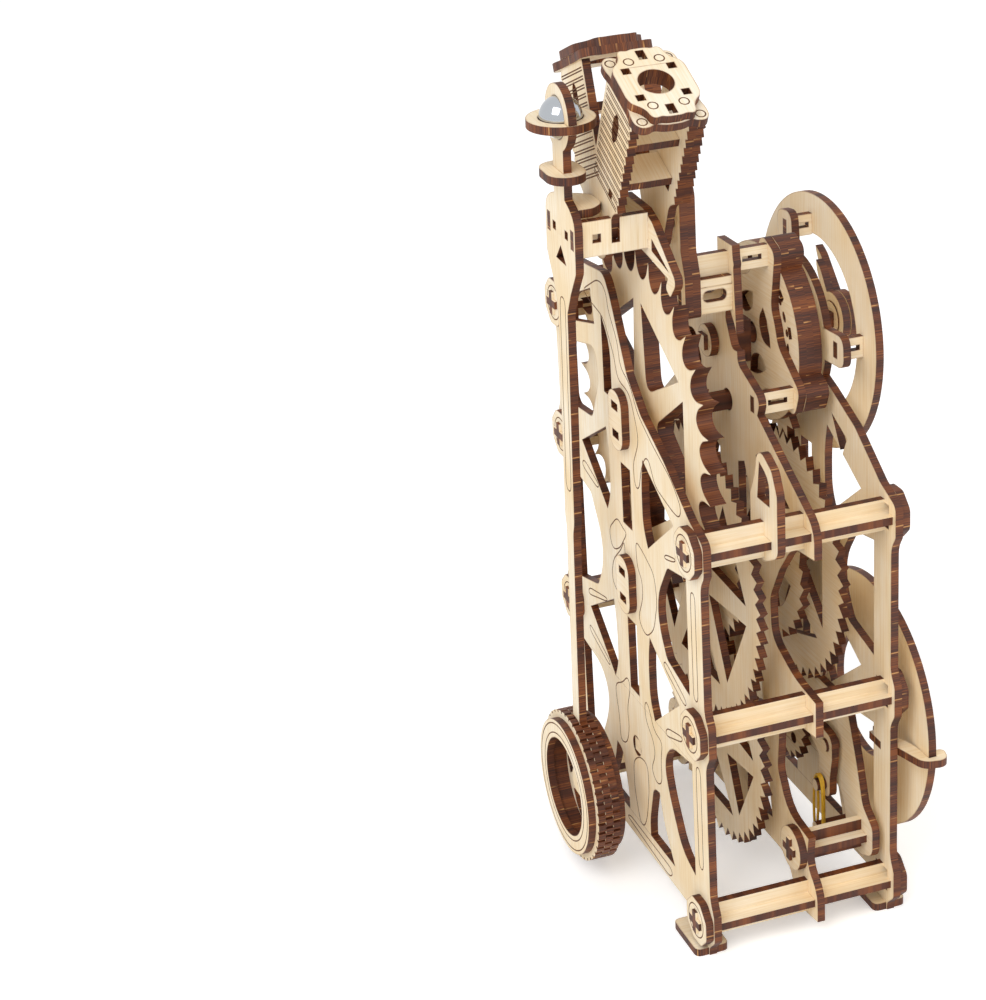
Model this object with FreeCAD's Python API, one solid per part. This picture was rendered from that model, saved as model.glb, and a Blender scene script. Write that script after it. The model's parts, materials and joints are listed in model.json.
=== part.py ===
import FreeCAD, Part
import math
import os
from FreeCAD import Vector

# Wooden pendulum clock kit of laser-cut plywood, millimetres.
# X runs along the arbors, from the pendulum side (minus X) to the dial side (plus X).
# Y runs across the plates, Z is up, and Z = 0 is the table under the four feet.
# X = 0 is the inner face of the rear plate and Y = 0 the plane of the arbors.
# The pendulum is drawn hanging straight and is then swung to where the photo shows it.
# At the end every piece is moved so that the origin is under the middle of the clock.

# Sheet and fits
PLY = 3.0                 # plywood thickness
HALF = PLY / 2
RUN = 0.1                 # radial running clearance of a turning shaft in its bore
GAP = 0.4                 # side gap between a turning piece and its neighbour
CUT_BELOW = 12.0          # a corner rounded by less than this is cut as one short flat
ROUND = 12                # sides of small dowels and holes
WIDE_ROUND = 36           # sides of the large rings

# Escapement, which sets the height and the width of the frame
NOTCHES = 32
ESCAPE_R = 62.4
NOTCH_DEEP = 9.6
NOTCH_HALF = 4.0          # half width of a notch at its shoulders
NOTCH_SHOULDER = 6.6      # shoulders lie this far in from the points
ESCAPE_WHEEL_AT = 4.4     # rear face of the pair of wheels
PALLET_STEP = 2.5         # notch steps from the vertical to each pallet
PALLET_CLEAR = 0.25       # pallets stand off the points, also where the pendulum is shown
PALLET_WIDE = 4.6
PALLET_TALL = 9.0
PIVOT_OVER = 8.7          # pendulum pivot over the escape wheel's points
NECK_R = 2.5              # thin rear end of the centre arbor, past the escape wheel
NECK_CLEAR = 1.1          # that end to the escape wheel's points

# Arbors, as (across Y, height)
GREAT_AT = (0.0, 54.0)
CENTRE_AT = (0.0, 123.5)
DIAL_AT = (12.0, 209.2)
ESCAPE_AT = (0.0, CENTRE_AT[1] + ESCAPE_R + NECK_R + NECK_CLEAR)
PIVOT_AT = (0.0, ESCAPE_AT[1] + ESCAPE_R + PIVOT_OVER)
ARBOR_R = 4.0             # corners of a square arbor lie on this radius
PIN_R = 2.5               # dowels

# Frame
SIDE_CLEAR = 5.6          # escape wheel's points to the plates' side edges
HALF_DEPTH = ESCAPE_R + SIDE_CLEAR
FRAME_GAP = 69.6          # clear distance between rear and front plates
CORNER_INSET = 6.5        # beam centre from the plate's side edge
CORNER_R = 9.6            # lobe of a plate about a beam
COLUMN = 13.0             # width of the plates' side columns
LEVEL_1 = 13.0            # heights of the cross beams
LEVEL_2 = CENTRE_AT[1] - 32.5
LEVEL_3 = ESCAPE_AT[1] - 27.5
LEVEL_4 = ESCAPE_AT[1] + 26.5
FOOT_LONG = 16.0          # foot plates
FOOT_WIDE = 10.0
TAB = 9.0                 # plate tab that stands in a foot

# Cross beams: a flat strip and an upright strip, halved into each other
BEAM_WIDE = 15.0
BEAM_TALL = 13.4
BEAM_STEP = 1.5           # upright strips are this much lower in front of the middle plate
TENON = 9.0               # arms of the plus-shaped tenon
END_STANDS = 1.0          # tenon stands out of its cap
CAP_R = 9.0               # inscribed circle of the eight-sided end caps
SHORT_CAP_R = 8.6
RELIEF = 1.0              # clearance of the notch in the beams beside the escape wheel

# Places along X, from the rear plate's inner face
FRONT_IN = FRAME_GAP
FRONT_OUT = FRONT_IN + PLY
MIDDLE_AT = 0.552 * FRAME_GAP
MIDDLE_OUT = MIDDLE_AT + PLY
WINDING_AT = FRONT_IN - 5.6
GREAT_WHEEL_AT = MIDDLE_AT - 8.4
THIRD_WHEEL_AT = MIDDLE_AT - 14.1
MOTION_WHEEL_AT = FRONT_IN - 9.2
RATCHET_AT = FRONT_IN - 10.2
BRAKE_WHEEL_AT = FRONT_IN - 16.6
DRUM_AT = FRONT_IN - 15.6

# Gears
ADDENDUM = 0.88
DEDENDUM = 1.25
GREAT_TEETH = 44
CENTRE_TEETH = 26
THIRD_TEETH = 60
ESCAPE_TEETH = 12
MOTION_TEETH = 48
IDLER_TEETH = 10
DIAL_TEETH = 20
BRAKE_WHEEL_R = 31.8
BRAKE_TEETH = 28
RATCHET_TEETH = 20
RATCHET_R = 18.5
TOOTH_DEEP = 3.2
HUB_R = 12.0              # wood left round the arbor inside a wheel's windows
FELLOE = 11.0             # wood left between a wheel's windows and its teeth

# Dial side
RING_R = 48.5
RING_HOLE_R = 33.5
LOWER_RING_R = 50.0
LOWER_HOLE_R = 24.0
LOWER_RING_AT = (-28.0, 70.5)
RING_STAND = 7.4          # front plate to the back of both rings
RING_AT = FRONT_OUT + RING_STAND
RING_POST_R = RING_HOLE_R + 3.5
RING_ANGLES = (84.0, 177.0, 268.0, 357.0)
LOWER_POSTS = ((4.0, 64.0), (-2.0, 43.0))
HEAD_R = 29.0             # round head of the front plate
EAR = 5.0                 # half width of the ears that hold the posts
DRUM_R = 34.0
DRUM_POST_R = DRUM_R + 2.5
DRUM_ANGLES = (112.0, 203.0, 296.0, 22.0)
DRUM_PLIES = 4
DRUM_SIDES = 24
POST_TALL = 8.0
POST_TENON = 6.0
SHELF_AT = (12.0 - HALF_DEPTH, 66.5)
HAND_HUB_R = 10.0
BUSH_R = 6.4              # bush on the dial arbor that the hands turn on
HAND_STAND = 3.4          # dial ring to the hour hand
HOUR_HAND = 23.0
MINUTE_HAND = 30.0
HAND_WIDE = 4.4
TIME_SHOWN = (1, 7)
HOUR_AT = RING_AT + PLY + HAND_STAND
MINUTE_AT = HOUR_AT + PLY + GAP

# Click and rubber bands
CLICK_PIVOT = (-36.0, 58.0)
BAND_HOOK = (-34.0, 40.5)
BAND_PEG = (BAND_HOOK[0], 21.5)
BAND_R = 0.9
BAND_AT = RATCHET_AT - 1.9  # middle of the two bands

# Pendulum, hanging straight
SWING = 4.5               # swing to each side, degrees
SWING_SHOWN = 3.5
FORK_AT = -23.0           # rear face of the long pendulum plate
ROD_HALF = 4.8
ROD_LOW_HALF = 3.4
HEAD_RING_Z = PIVOT_AT[1] + 43.4
HEAD_RING_R = 11.8
BALL_R = 7.6
COLLAR_Z = PIVOT_AT[1] + 21.9
HALO_R = 12.2
HALO_Z = HEAD_RING_Z - PLY
BOB_Z = 34.5
BOB_R = 29.0
BOB_HOLE_R = 19.5
BOB_WIDE = 15.0
BOB_START = FORK_AT + HALF - BOB_WIDE / 2
TREAD_DEEP = 3.6
TREADS = 32
BOX_HALF = 11.6           # middle of the box's side plates from Y = 0
BOX_LOW = PIVOT_AT[1] - 3.6
BOX_HIGH = PIVOT_AT[1] + 9.4
FORK_HALF = BOX_HALF + HALF + 1.4

# Leaning cylinders on the pendulum's head
LEAN = 23.5               # lean of each cylinder from upright, degrees
CYL_REAR_AT = -9.0        # rear faces of the cylinders' end plates
CYL_FRONT_AT = 12.0
CYL_HALF = 12.4
CYL_LEG = 8.5             # half width of the plain leg under the fins
FIN_START = 18.0
FIN_PITCH = 3.6
FIN_DEEP = 1.6
HEAD_OUT = 64.5           # pivot to the top of a cylinder head
HEAD_HOLE_R = 6.2
HEAD_MID_X = (CYL_REAR_AT + CYL_FRONT_AT + PLY) / 2

# Bridge that carries the pivot
BRACKET_AT = CYL_FRONT_AT + 2 * PLY + 0.8
BRACKET_TOP = 15.0        # bracket over the pivot
BRIDGE_HALF = 5.0
BRIDGE_LOW = ESCAPE_AT[1] + 36.5
BRIDGE_HIGH = BRIDGE_LOW + 13.0
TONGUE_TOP = DIAL_AT[1] + 40.8
PIN_TIP = 1.0             # pivot dowel stands out at both ends

CORNER = HALF_DEPTH - CORNER_INSET
SHORT_AT = (13.5 - HALF_DEPTH, 29.5)  # short beam between middle and winding plates


# Outlines and sheets

NORMAL = {"x": Vector(1, 0, 0), "y": Vector(0, 1, 0), "z": Vector(0, 0, 1)}


def vec(plane, at, a, b):
    if plane == "x":
        return Vector(at, a, b)
    if plane == "y":
        return Vector(a, at, b)
    return Vector(a, b, at)


def rounded(here, back, ahead, radius):
    """Start, middle and end of a corner's round, or of the flat that stands for a small one."""
    if radius <= 0 or back.getAngle(ahead) > math.pi - 1e-4:
        return (here, None, here)
    half = back.getAngle(ahead) / 2
    reach = min(radius / math.tan(half), 0.48 * min(back.Length, ahead.Length))
    radius = reach * math.tan(half)
    u = Vector(back).normalize()
    w = Vector(ahead).normalize()
    inset = radius / math.sin(half) - radius
    if radius < CUT_BELOW:
        flat = inset / math.cos(half)
        return (here.add(u * flat), None, here.add(w * flat))
    inward = Vector(u.add(w)).normalize()
    return (here.add(u * reach), here.add(inward * inset), here.add(w * reach))


def corner_wire(points, plane, at):
    """Closed wire through corners (a, b) or (a, b, radius); a radius rounds its corner."""
    corners = [Vector(p[0], p[1], 0) for p in points]
    count = len(corners)
    turns = []
    for i, here in enumerate(corners):
        back = corners[i - 1].sub(here)
        ahead = corners[(i + 1) % count].sub(here)
        turns.append(rounded(here, back, ahead, points[i][2] if len(points[i]) > 2 else 0.0))
    edges = []
    for i, (start, middle, end) in enumerate(turns):
        following = turns[(i + 1) % count][0]
        a = vec(plane, at, start.x, start.y)
        b = vec(plane, at, end.x, end.y)
        c = vec(plane, at, following.x, following.y)
        if middle is not None:
            edges.append(Part.Arc(a, vec(plane, at, middle.x, middle.y), b).toShape())
        elif a.sub(b).Length > 1e-6:
            edges.append(Part.LineSegment(a, b).toShape())
        if b.sub(c).Length > 1e-6:
            edges.append(Part.LineSegment(b, c).toShape())
    return Part.Wire(edges)


def sheet(points, at, thick=PLY, plane="x"):
    """A flat piece: its outline, its lower face along the plane's axis, its thickness."""
    return Part.Face(corner_wire(points, plane, at)).extrude(NORMAL[plane] * thick)


def polar(centre, radius, degrees):
    a = math.radians(degrees)
    return (centre[0] + radius * math.cos(a), centre[1] + radius * math.sin(a))


def many_sided(centre, radius, at, sides=ROUND, thick=PLY, plane="x"):
    """A round with flat sides, its corners on the radius."""
    points = [polar(centre, radius, 360.0 * (i + 0.5) / sides) for i in range(sides)]
    return sheet(points, at, thick, plane)


def clear_hole(centre, radius, at, sides=ROUND, thick=PLY, plane="x"):
    """A hole with flat sides that clears a round of the given radius."""
    return many_sided(centre, radius / math.cos(math.pi / sides), at, sides, thick, plane)


def block(x0, x1, y0, y1, z0, z1):
    return Part.makeBox(x1 - x0, y1 - y0, z1 - z0, Vector(x0, y0, z0))


def rectangle(a0, a1, b0, b1):
    return [(a0, b0), (a1, b0), (a1, b1), (a0, b1)]


def square(centre, half, at, thick=PLY):
    return sheet(rectangle(centre[0] - half, centre[0] + half, centre[1] - half, centre[1] + half),
                 at, thick)


def plus(centre, at, wide=TENON, tall=TENON, thick=PLY):
    """A plus-shaped hole or tenon along X."""
    y, z = centre
    h = wide / 2
    v = tall / 2
    t = HALF
    points = [(y - h, z - t), (y - t, z - t), (y - t, z - v), (y + t, z - v), (y + t, z - t),
              (y + h, z - t), (y + h, z + t), (y + t, z + t), (y + t, z + v), (y - t, z + v),
              (y - t, z + t), (y - h, z + t)]
    return sheet(points, at, thick)


def oval(centre, half_wide, half_tall, at, thick=PLY, plane="x"):
    """An eight-sided slot or pill, longer than it is wide."""
    a, b = centre
    e = min(half_wide, half_tall) * 0.9
    points = [(a - half_wide, b - half_tall, e), (a + half_wide, b - half_tall, e),
              (a + half_wide, b + half_tall, e), (a - half_wide, b + half_tall, e)]
    return sheet(points, at, thick, plane)


def mirror(points):
    return [(-p[0],) + tuple(p[1:]) for p in reversed(points)]


def both(points, at, thick=PLY):
    """The same window on both sides of Y = 0."""
    return [sheet(points, at, thick), sheet(mirror(points), at, thick)]


def cut(body, tools):
    return body.cut(list(tools))


def join(body, others):
    return body.fuse(list(others)).removeSplitter()


def group(shapes):
    return Part.makeCompound(shapes)


def turned(shape, degrees, centre=PIVOT_AT):
    """Turn about X, from plus Y toward plus Z."""
    shape = shape.copy()
    shape.rotate(Vector(0, centre[0], centre[1]), Vector(1, 0, 0), degrees)
    return shape


def sector(centre, r_in, r_out, start, end, at):
    """A slot between two radii and two angles, with one bend along its outer side."""
    mid = (start + end) / 2
    points = [polar(centre, r_in, start), polar(centre, r_out, start), polar(centre, r_out, mid),
              polar(centre, r_out, end), polar(centre, r_in, end)]
    return sheet(points, at)


def ear(centre, degrees, reach, half, at):
    """A straight ear with cut corners that stands out of a round plate."""
    a = math.radians(degrees)
    corners = ((0.5 * reach, -half, 0), (reach, -half, 4), (reach, half, 4), (0.5 * reach, half, 0))
    points = []
    for out, side, radius in corners:
        points.append((centre[0] + out * math.cos(a) - side * math.sin(a),
                       centre[1] + out * math.sin(a) + side * math.cos(a), radius))
    return sheet(points, at)


# Teeth

def gear(centre, module, teeth, phase, at, thick=PLY):
    """A wheel with pointed laser-cut teeth, which lie inside the involute form."""
    pitch = module * teeth / 2
    points = []
    for i in range(teeth):
        mid = phase + 2 * math.pi * i / teeth
        for radius, turn in ((pitch - DEDENDUM * module, -math.pi / teeth),
                             (pitch + ADDENDUM * module, 0.0)):
            points.append((centre[0] + radius * math.cos(mid + turn),
                           centre[1] + radius * math.sin(mid + turn)))
    return sheet(points, at, thick)


def meshed(centre_a, teeth_a, phase_a, centre_b, teeth_b):
    """Phase of gear b that puts its gaps on the teeth of gear a."""
    line = math.atan2(centre_b[1] - centre_a[1], centre_b[0] - centre_a[0])
    turn = (line - phase_a) * teeth_a / (2 * math.pi)
    return line + math.pi - (0.5 - turn) * 2 * math.pi / teeth_b


def module_of(a, b, teeth_a, teeth_b):
    return 2 * math.hypot(a[0] - b[0], a[1] - b[1]) / (teeth_a + teeth_b)


def saw_wheel(centre, radius, deep, teeth, at):
    """A wheel with raked teeth, steep on one side."""
    points = []
    for i in range(teeth):
        step = 360.0 / teeth
        points.append(polar(centre, radius - deep, i * step))
        points.append(polar(centre, radius, (i + 0.12) * step))
    return sheet(points, at)


def spoked(centre, inner, outer, count, spoke, at, turn=0.0):
    """Three-cornered windows between straight spokes."""
    tools = []
    half = 180.0 / count
    trim = math.degrees(math.asin(spoke / 2 / outer))
    for i in range(count):
        mid = turn + 360.0 * (i + 0.5) / count
        points = [polar(centre, inner, mid), polar(centre, outer, mid - half + trim),
                  polar(centre, outer, mid + half - trim)]
        tools.append(sheet(points, at))
    return tools


# Places that pieces share

NEAR_BEAMS = [(-CORNER, z) for z in (LEVEL_1, LEVEL_2, LEVEL_3)]
FAR_BEAMS = [(CORNER, z) for z in (LEVEL_1, LEVEL_2, LEVEL_3, LEVEL_4)]
BEAMS = NEAR_BEAMS + FAR_BEAMS
SHORT_BEAMS = [SHORT_AT, (-SHORT_AT[0], SHORT_AT[1])]
DRUM_POSTS = [polar(DIAL_AT, DRUM_POST_R, a) for a in DRUM_ANGLES]
RING_POSTS = [polar(DIAL_AT, RING_POST_R, a) for a in RING_ANGLES]

TRAIN_1 = module_of(GREAT_AT, CENTRE_AT, GREAT_TEETH, CENTRE_TEETH)
TRAIN_2 = module_of(CENTRE_AT, ESCAPE_AT, THIRD_TEETH, ESCAPE_TEETH)
GREAT_R = GREAT_TEETH * TRAIN_1 / 2
THIRD_R = THIRD_TEETH * TRAIN_2 / 2
MOTION_R = MOTION_TEETH * TRAIN_1 / 2
IDLER_R = IDLER_TEETH * TRAIN_1 / 2
DIAL_R = DIAL_TEETH * TRAIN_1 / 2


def third_corner(a, b, from_a, from_b):
    """The point at given distances from a and from b, on the near side."""
    dy = b[0] - a[0]
    dz = b[1] - a[1]
    d = math.hypot(dy, dz)
    along = (from_a ** 2 - from_b ** 2 + d ** 2) / (2 * d)
    off = math.sqrt(from_a ** 2 - along ** 2)
    return (a[0] + along * dy / d - off * dz / d, a[1] + along * dz / d + off * dy / d)


IDLER_AT = third_corner(CENTRE_AT, DIAL_AT, MOTION_R + IDLER_R, IDLER_R + DIAL_R)
GREAT_PHASE = 0.0
CENTRE_PHASE = meshed(GREAT_AT, GREAT_TEETH, GREAT_PHASE, CENTRE_AT, CENTRE_TEETH)
THIRD_PHASE = 0.0
ESCAPE_PHASE = meshed(CENTRE_AT, THIRD_TEETH, THIRD_PHASE, ESCAPE_AT, ESCAPE_TEETH)
MOTION_PHASE = 0.0
IDLER_PHASE = meshed(CENTRE_AT, MOTION_TEETH, MOTION_PHASE, IDLER_AT, IDLER_TEETH)
DIAL_PHASE = meshed(IDLER_AT, IDLER_TEETH, IDLER_PHASE, DIAL_AT, DIAL_TEETH)


def bore(centre, at, radius=ARBOR_R):
    return clear_hole(centre, radius + RUN, at)


def post_tenon(centre, at):
    """Hole or tenon of a post that stands on edge."""
    y, z = centre
    return sheet(rectangle(y - HALF, y + HALF, z - POST_TENON / 2, z + POST_TENON / 2), at)


# Frame plates

def side_outline(near_shoulder, far_top):
    """Outline shared by the rear and front plates, from the near top down and round."""
    w = HALF_DEPTH
    out = CORNER + CORNER_R
    left = []
    for level in (LEVEL_3, LEVEL_2):
        left += [(-out, level + 6, 4), (-out, level - 6, 4), (-w, level - 11, 0)]
        if level == LEVEL_3:
            left.append((-w, LEVEL_2 + 11, 0))
    left += [(-w, LEVEL_1 + 12, 0), (-out, LEVEL_1 + 6, 3), (-out, LEVEL_1 - 5, 3),
             (-CORNER - TAB / 2, PLY, 0), (-CORNER - TAB / 2, 0, 0), (-CORNER + TAB / 2, 0, 0),
             (-CORNER + TAB / 2, PLY, 0), (-CORNER + 10, LEVEL_1 - 2, 6)]
    right = mirror(left[-8:])
    far = [(w, LEVEL_2 - 11, 0), (out, LEVEL_2 - 6, 4), (out, LEVEL_2 + 6, 4),
           (w, LEVEL_2 + 11, 0), (w, LEVEL_3 - 11, 0), (out, LEVEL_3 - 6, 4),
           (out, LEVEL_3 + 6, 4), (w, LEVEL_3 + 11, 0), (w, LEVEL_4 - 11, 0),
           (out, LEVEL_4 - 6, 4), (out, LEVEL_4 + 6, 5)]
    return left + right + far + far_top + near_shoulder


def body_windows(at, foot_reach):
    """Windows of the truss body, alike on both sides of the middle, and the beam holes."""
    w = HALF_DEPTH
    edge = w - COLUMN
    c = CENTRE_AT[1]
    g = GREAT_AT[1]
    tools = []
    tools += both([(-edge, c - 20.5), (-edge, c + 25.5), (-0.56 * w, c + 22.5, 4),
                   (-0.41 * w, c + 7.5), (-0.41 * w, c - 4.5), (-0.51 * w, c - 15.5, 4)], at)
    tools += both([(-edge, g - 26), (-edge, g + 21), (-0.51 * w, g + 18), (-0.41 * w, g + 8),
                   (-0.46 * w, g - 3), (-0.63 * w, g - 22)], at)
    for level in (LEVEL_2, LEVEL_3):
        tools += both([(-0.66 * w, level + 3), (-0.265 * w, level + 18), (-0.235 * w, level + 8),
                       (-0.235 * w, level - 8), (-0.295 * w, level - 16)], at)
    tools += both([(-foot_reach * w, g - 34), (-0.16 * w, g - 34), (-0.16 * w, g - 27),
                   (-0.235 * w, g - 10), (-0.32 * w, g - 9), (-0.37 * w, g - 20)], at)
    tools.append(sheet(rectangle(-5, 4, g + 24, c - 15.5), at))
    tools += [square(centre, TENON / 2, at) for centre in BEAMS]
    return tools


def rear_plate():
    w = HALF_DEPTH
    edge = w - COLUMN
    e = ESCAPE_AT[1]
    near_shoulder = [(-0.265 * w, e + 7.5, 6), (-0.56 * w, e - 2.5, 10),
                     (-CORNER + 2, LEVEL_3 + 11, 5)]
    far_top = [(CORNER + 1, LEVEL_4 + 11, 5), (0.65 * w, e + 48.5, 6), (0.2 * w, e + 51.5, 7),
               (0.12 * w, e + 44.5, 5), (-0.09 * w, e + 18.5, 8)]
    plate = sheet(side_outline(near_shoulder, far_top), -PLY)
    tools = body_windows(-PLY, 0.51)
    tools.append(sheet(rectangle(-5, 4, CENTRE_AT[1] + 23.5, e - 18.5), -PLY))
    tools.append(sheet([(10, e + 4.5), (18, e + 4.5), (18, e + 34.5), (10, e + 25.5)], -PLY))
    tools.append(sheet([(0.47 * w, e - 10.5, 4), (edge - 1, e - 12.5, 4), (edge - 1, e + 13.5, 4),
                        (0.38 * w, e + 19.5, 5), (0.35 * w, e + 6.5, 4)], -PLY))
    tools.append(sheet([(0.37 * w, e + 28.5), (0.735 * w, e + 22.5), (0.735 * w, e + 32.5),
                        (0.41 * w, e + 41.5)], -PLY))
    tools += [bore(GREAT_AT, -PLY), bore(CENTRE_AT, -PLY, NECK_R), bore(ESCAPE_AT, -PLY)]
    return cut(plate, tools)


def front_plate():
    w = HALF_DEPTH
    edge = w - COLUMN
    e = ESCAPE_AT[1]
    d = DIAL_AT[1]
    at = FRONT_IN
    near_shoulder = [(-0.15 * w, d - 10, 5), (-0.32 * w, e + 5.5, 5), (-0.59 * w, e - 2.5, 10),
                     (-CORNER + 2, LEVEL_3 + 11, 5)]
    far_top = [(CORNER + 1, LEVEL_4 + 11, 5), (0.53 * w, d + 21, 6), (0, d + 16, 5),
               (-0.18 * w, d + 3, 5)]
    plate = sheet(side_outline(near_shoulder, far_top), at)
    head = [many_sided(DIAL_AT, HEAD_R, at, WIDE_ROUND)]
    head += [ear(DIAL_AT, a, RING_POST_R + EAR + 1.5, EAR + 1, at) for a in RING_ANGLES]
    plate = join(plate, head)
    tools = body_windows(at, 0.44)
    tools.append(sheet(rectangle(-5, 4, CENTRE_AT[1] + 23.5, CENTRE_AT[1] + 44.5), at))
    tools += both([(-0.5 * w, e - 9.5), (-0.44 * w, e - 17.5), (-0.32 * w, e - 3.5)], at)
    tools.append(sheet([(edge - 5, e - 9.5), (edge - 1, e - 9.5), (edge - 1, e + 16.5),
                        (edge - 5, e + 6.5)], at))
    for start in (205, 295, 20, 115):
        tools.append(sector(DIAL_AT, 14, 23, start, start + 50, at))
    tools += [bore(CENTRE_AT, at), bore(DIAL_AT, at)]
    tools += [post_tenon(centre, at) for centre in RING_POSTS + list(LOWER_POSTS)]
    tools.append(block(at, at + PLY, SHELF_AT[0] - TAB / 2, SHELF_AT[0] + TAB / 2,
                       SHELF_AT[1], SHELF_AT[1] + PLY))
    tools += [many_sided(BAND_PEG, PIN_R, at), many_sided(IDLER_AT, PIN_R, at)]
    return cut(plate, tools)


def middle_plate():
    w = HALF_DEPTH
    out = CORNER + CORNER_R
    c = CENTRE_AT[1]
    g = GREAT_AT[1]
    d = DIAL_AT[1]
    y, z = SHORT_AT
    at = MIDDLE_AT
    half = [(-out, LEVEL_3 + 4), (-out, LEVEL_3 - 8), (8 - CORNER, LEVEL_3 - 10),
            (-0.62 * w, c + 14.5, 10), (-0.5 * w, c + 0.5, 10), (-0.515 * w, c - 15.5, 9),
            (8 - CORNER, LEVEL_2 + 9), (-out, LEVEL_2 + 7), (-out, LEVEL_2 - 7),
            (8 - CORNER, LEVEL_2 - 9), (-0.59 * w, g + 18, 9), (-0.56 * w, g, 8),
            (-0.68 * w, g - 14), (y - 9.5, z + 8.5), (y - 7.5, z - 3.5), (-out, LEVEL_1 + 6),
            (-out, LEVEL_1 - 7), (6 - CORNER, LEVEL_1 - 9), (y + 9.5, z - 9.5),
            (-0.44 * w, z - 9.5)]
    crown = [(DIAL_AT[0] + 34, d - 23, 8), (DIAL_AT[0] + 40, d + 5, 10), (DIAL_AT[0] + 35, d + 23, 8),
             (DIAL_AT[0] + 12, BRIDGE_HIGH - 1, 10), (6, BRIDGE_HIGH - 1), (6, TONGUE_TOP),
             (-7, TONGUE_TOP), (-8, BRIDGE_HIGH - 3), (-10, ESCAPE_AT[1] + 11.5)]
    plate = sheet(half + mirror(half) + crown, at)
    plate = join(plate, [ear(DIAL_AT, a, DRUM_POST_R + EAR, EAR + 1, at) for a in DRUM_ANGLES])
    tools = [plus(p, at, BEAM_WIDE, BEAM_TALL - BEAM_STEP) for p in BEAMS[:-1]]
    tools += [plus(p, at) for p in SHORT_BEAMS]
    tools += [bore(centre, at) for centre in (GREAT_AT, CENTRE_AT, ESCAPE_AT, DIAL_AT)]
    for start in (130, 310, 45):
        tools.append(sector(DIAL_AT, 17, 23, start, start + 45, at))
    tools += both([(-0.35 * w, c + 22.5), (-0.12 * w, c + 19.5), (-0.12 * w, c + 44.5),
                   (-0.2 * w, c + 46.5)], at)
    tools += both([(-0.38 * w, g + 22), (-0.13 * w, g + 16), (-0.13 * w, c - 17.5),
                   (-0.35 * w, c - 17.5)], at)
    tools += both([(-0.76 * w, LEVEL_3 + 4), (-0.5 * w, LEVEL_3 - 2), (-0.35 * w, LEVEL_3 + 14),
                   (-0.44 * w, LEVEL_3 + 18)], at)
    tools += both([(-0.48 * w, g - 24), (-0.15 * w, g - 28), (-0.15 * w, g - 14),
                   (-0.44 * w, g - 8)], at)
    tools += [post_tenon(centre, at) for centre in DRUM_POSTS]
    for y in (-BRIDGE_HALF, BRIDGE_HALF):
        tools.append(sheet(rectangle(y - HALF, y + HALF, BRIDGE_LOW + PLY, BRIDGE_HIGH - PLY), at))
    return cut(plate, tools)


def winding_plate():
    y, z = SHORT_AT
    g = GREAT_AT[1]
    half = [(y + 10.5, g + 24, 5), (y + 2.5, g + 4, 8), (y - 2.5, g - 12, 6), (y - 10.5, z + 6.5, 4),
            (y - 10.5, z - 5.5, 6), (y + 0.5, z - 10.5, 5), (y + 9.5, z - 5.5, 5),
            (y + 14.5, z + 8.5, 6), (-26, g - 9, 8)]
    plate = sheet(half + mirror(half), WINDING_AT)
    tools = [plus(p, WINDING_AT) for p in SHORT_BEAMS]
    tools.append(bore(GREAT_AT, WINDING_AT))
    tools.append(many_sided(CLICK_PIVOT, PIN_R, WINDING_AT))
    tools += both([(-30, g + 16), (-26, g - 2), (-14, g - 4), (-10, g + 16)], WINDING_AT)
    return cut(plate, tools)


def link_lever():
    """Bent lever on the near top beam, between the rear and middle plates."""
    at = THIRD_WHEEL_AT - 1.0
    y = -CORNER
    z = LEVEL_3
    points = [(y + 2.5, z + 34, 5), (y - 8.5, z + 28, 5), (y - 12.5, z + 20, 4), (y - 12.5, z - 3, 5),
              (y - 0.5, z - 9, 5), (y + 9.5, z - 4, 4), (y + 9.5, z + 14, 5), (y + 5.5, z + 22, 4)]
    window = sheet([(y - 6.5, z + 14), (y + 3.5, z + 14), (y + 1.5, z + 28), (y - 6.5, z + 24)], at)
    return cut(sheet(points, at), [window, plus((y, z), at, BEAM_WIDE, BEAM_TALL)])


# Cross beams

def strip(centre, stretches, slot_from, slot_to, flat):
    """One strip of a beam: its stretches (x0, x1, width) and the slot at one of its ends."""
    y, z = centre
    edge = []
    for x0, x1, wide in stretches:
        edge += [(x0, wide / 2), (x1, wide / 2)]
    other = [(x, -side) for x, side in reversed(edge)]
    slot = [(slot_to, HALF), (slot_from, HALF), (slot_from, -HALF), (slot_to, -HALF)]
    points = edge + slot + other if slot_to > slot_from else edge + other + mirror_slot(slot)
    if flat:
        return sheet([(x, y + side) for x, side in points], z - HALF, PLY, "z")
    return sheet([(x, z + side) for x, side in points], y - HALF, PLY, "y")


def mirror_slot(slot):
    return [(x, -side) for x, side in slot]


def long_strips(flat):
    start = -2 * PLY - END_STANDS
    end = FRONT_OUT + PLY + END_STANDS
    middle = MIDDLE_AT - 8.0
    if flat:
        stretches = [(start, 0, TENON), (0, FRONT_IN, BEAM_WIDE), (FRONT_IN, end, TENON)]
        slot_to = end
    else:
        stretches = [(start, 0, TENON), (0, MIDDLE_AT, BEAM_TALL),
                     (MIDDLE_AT, FRONT_IN, BEAM_TALL - BEAM_STEP), (FRONT_IN, end, TENON)]
        slot_to = start
    relief = Part.makeCylinder(ESCAPE_R + RELIEF, 2 * PLY + 2 * RELIEF,
                               Vector(ESCAPE_WHEEL_AT - RELIEF, *ESCAPE_AT), NORMAL["x"])
    strips = [strip(centre, stretches, middle, slot_to, flat) for centre in BEAMS]
    return group([piece.cut(relief) for piece in strips])


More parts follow.
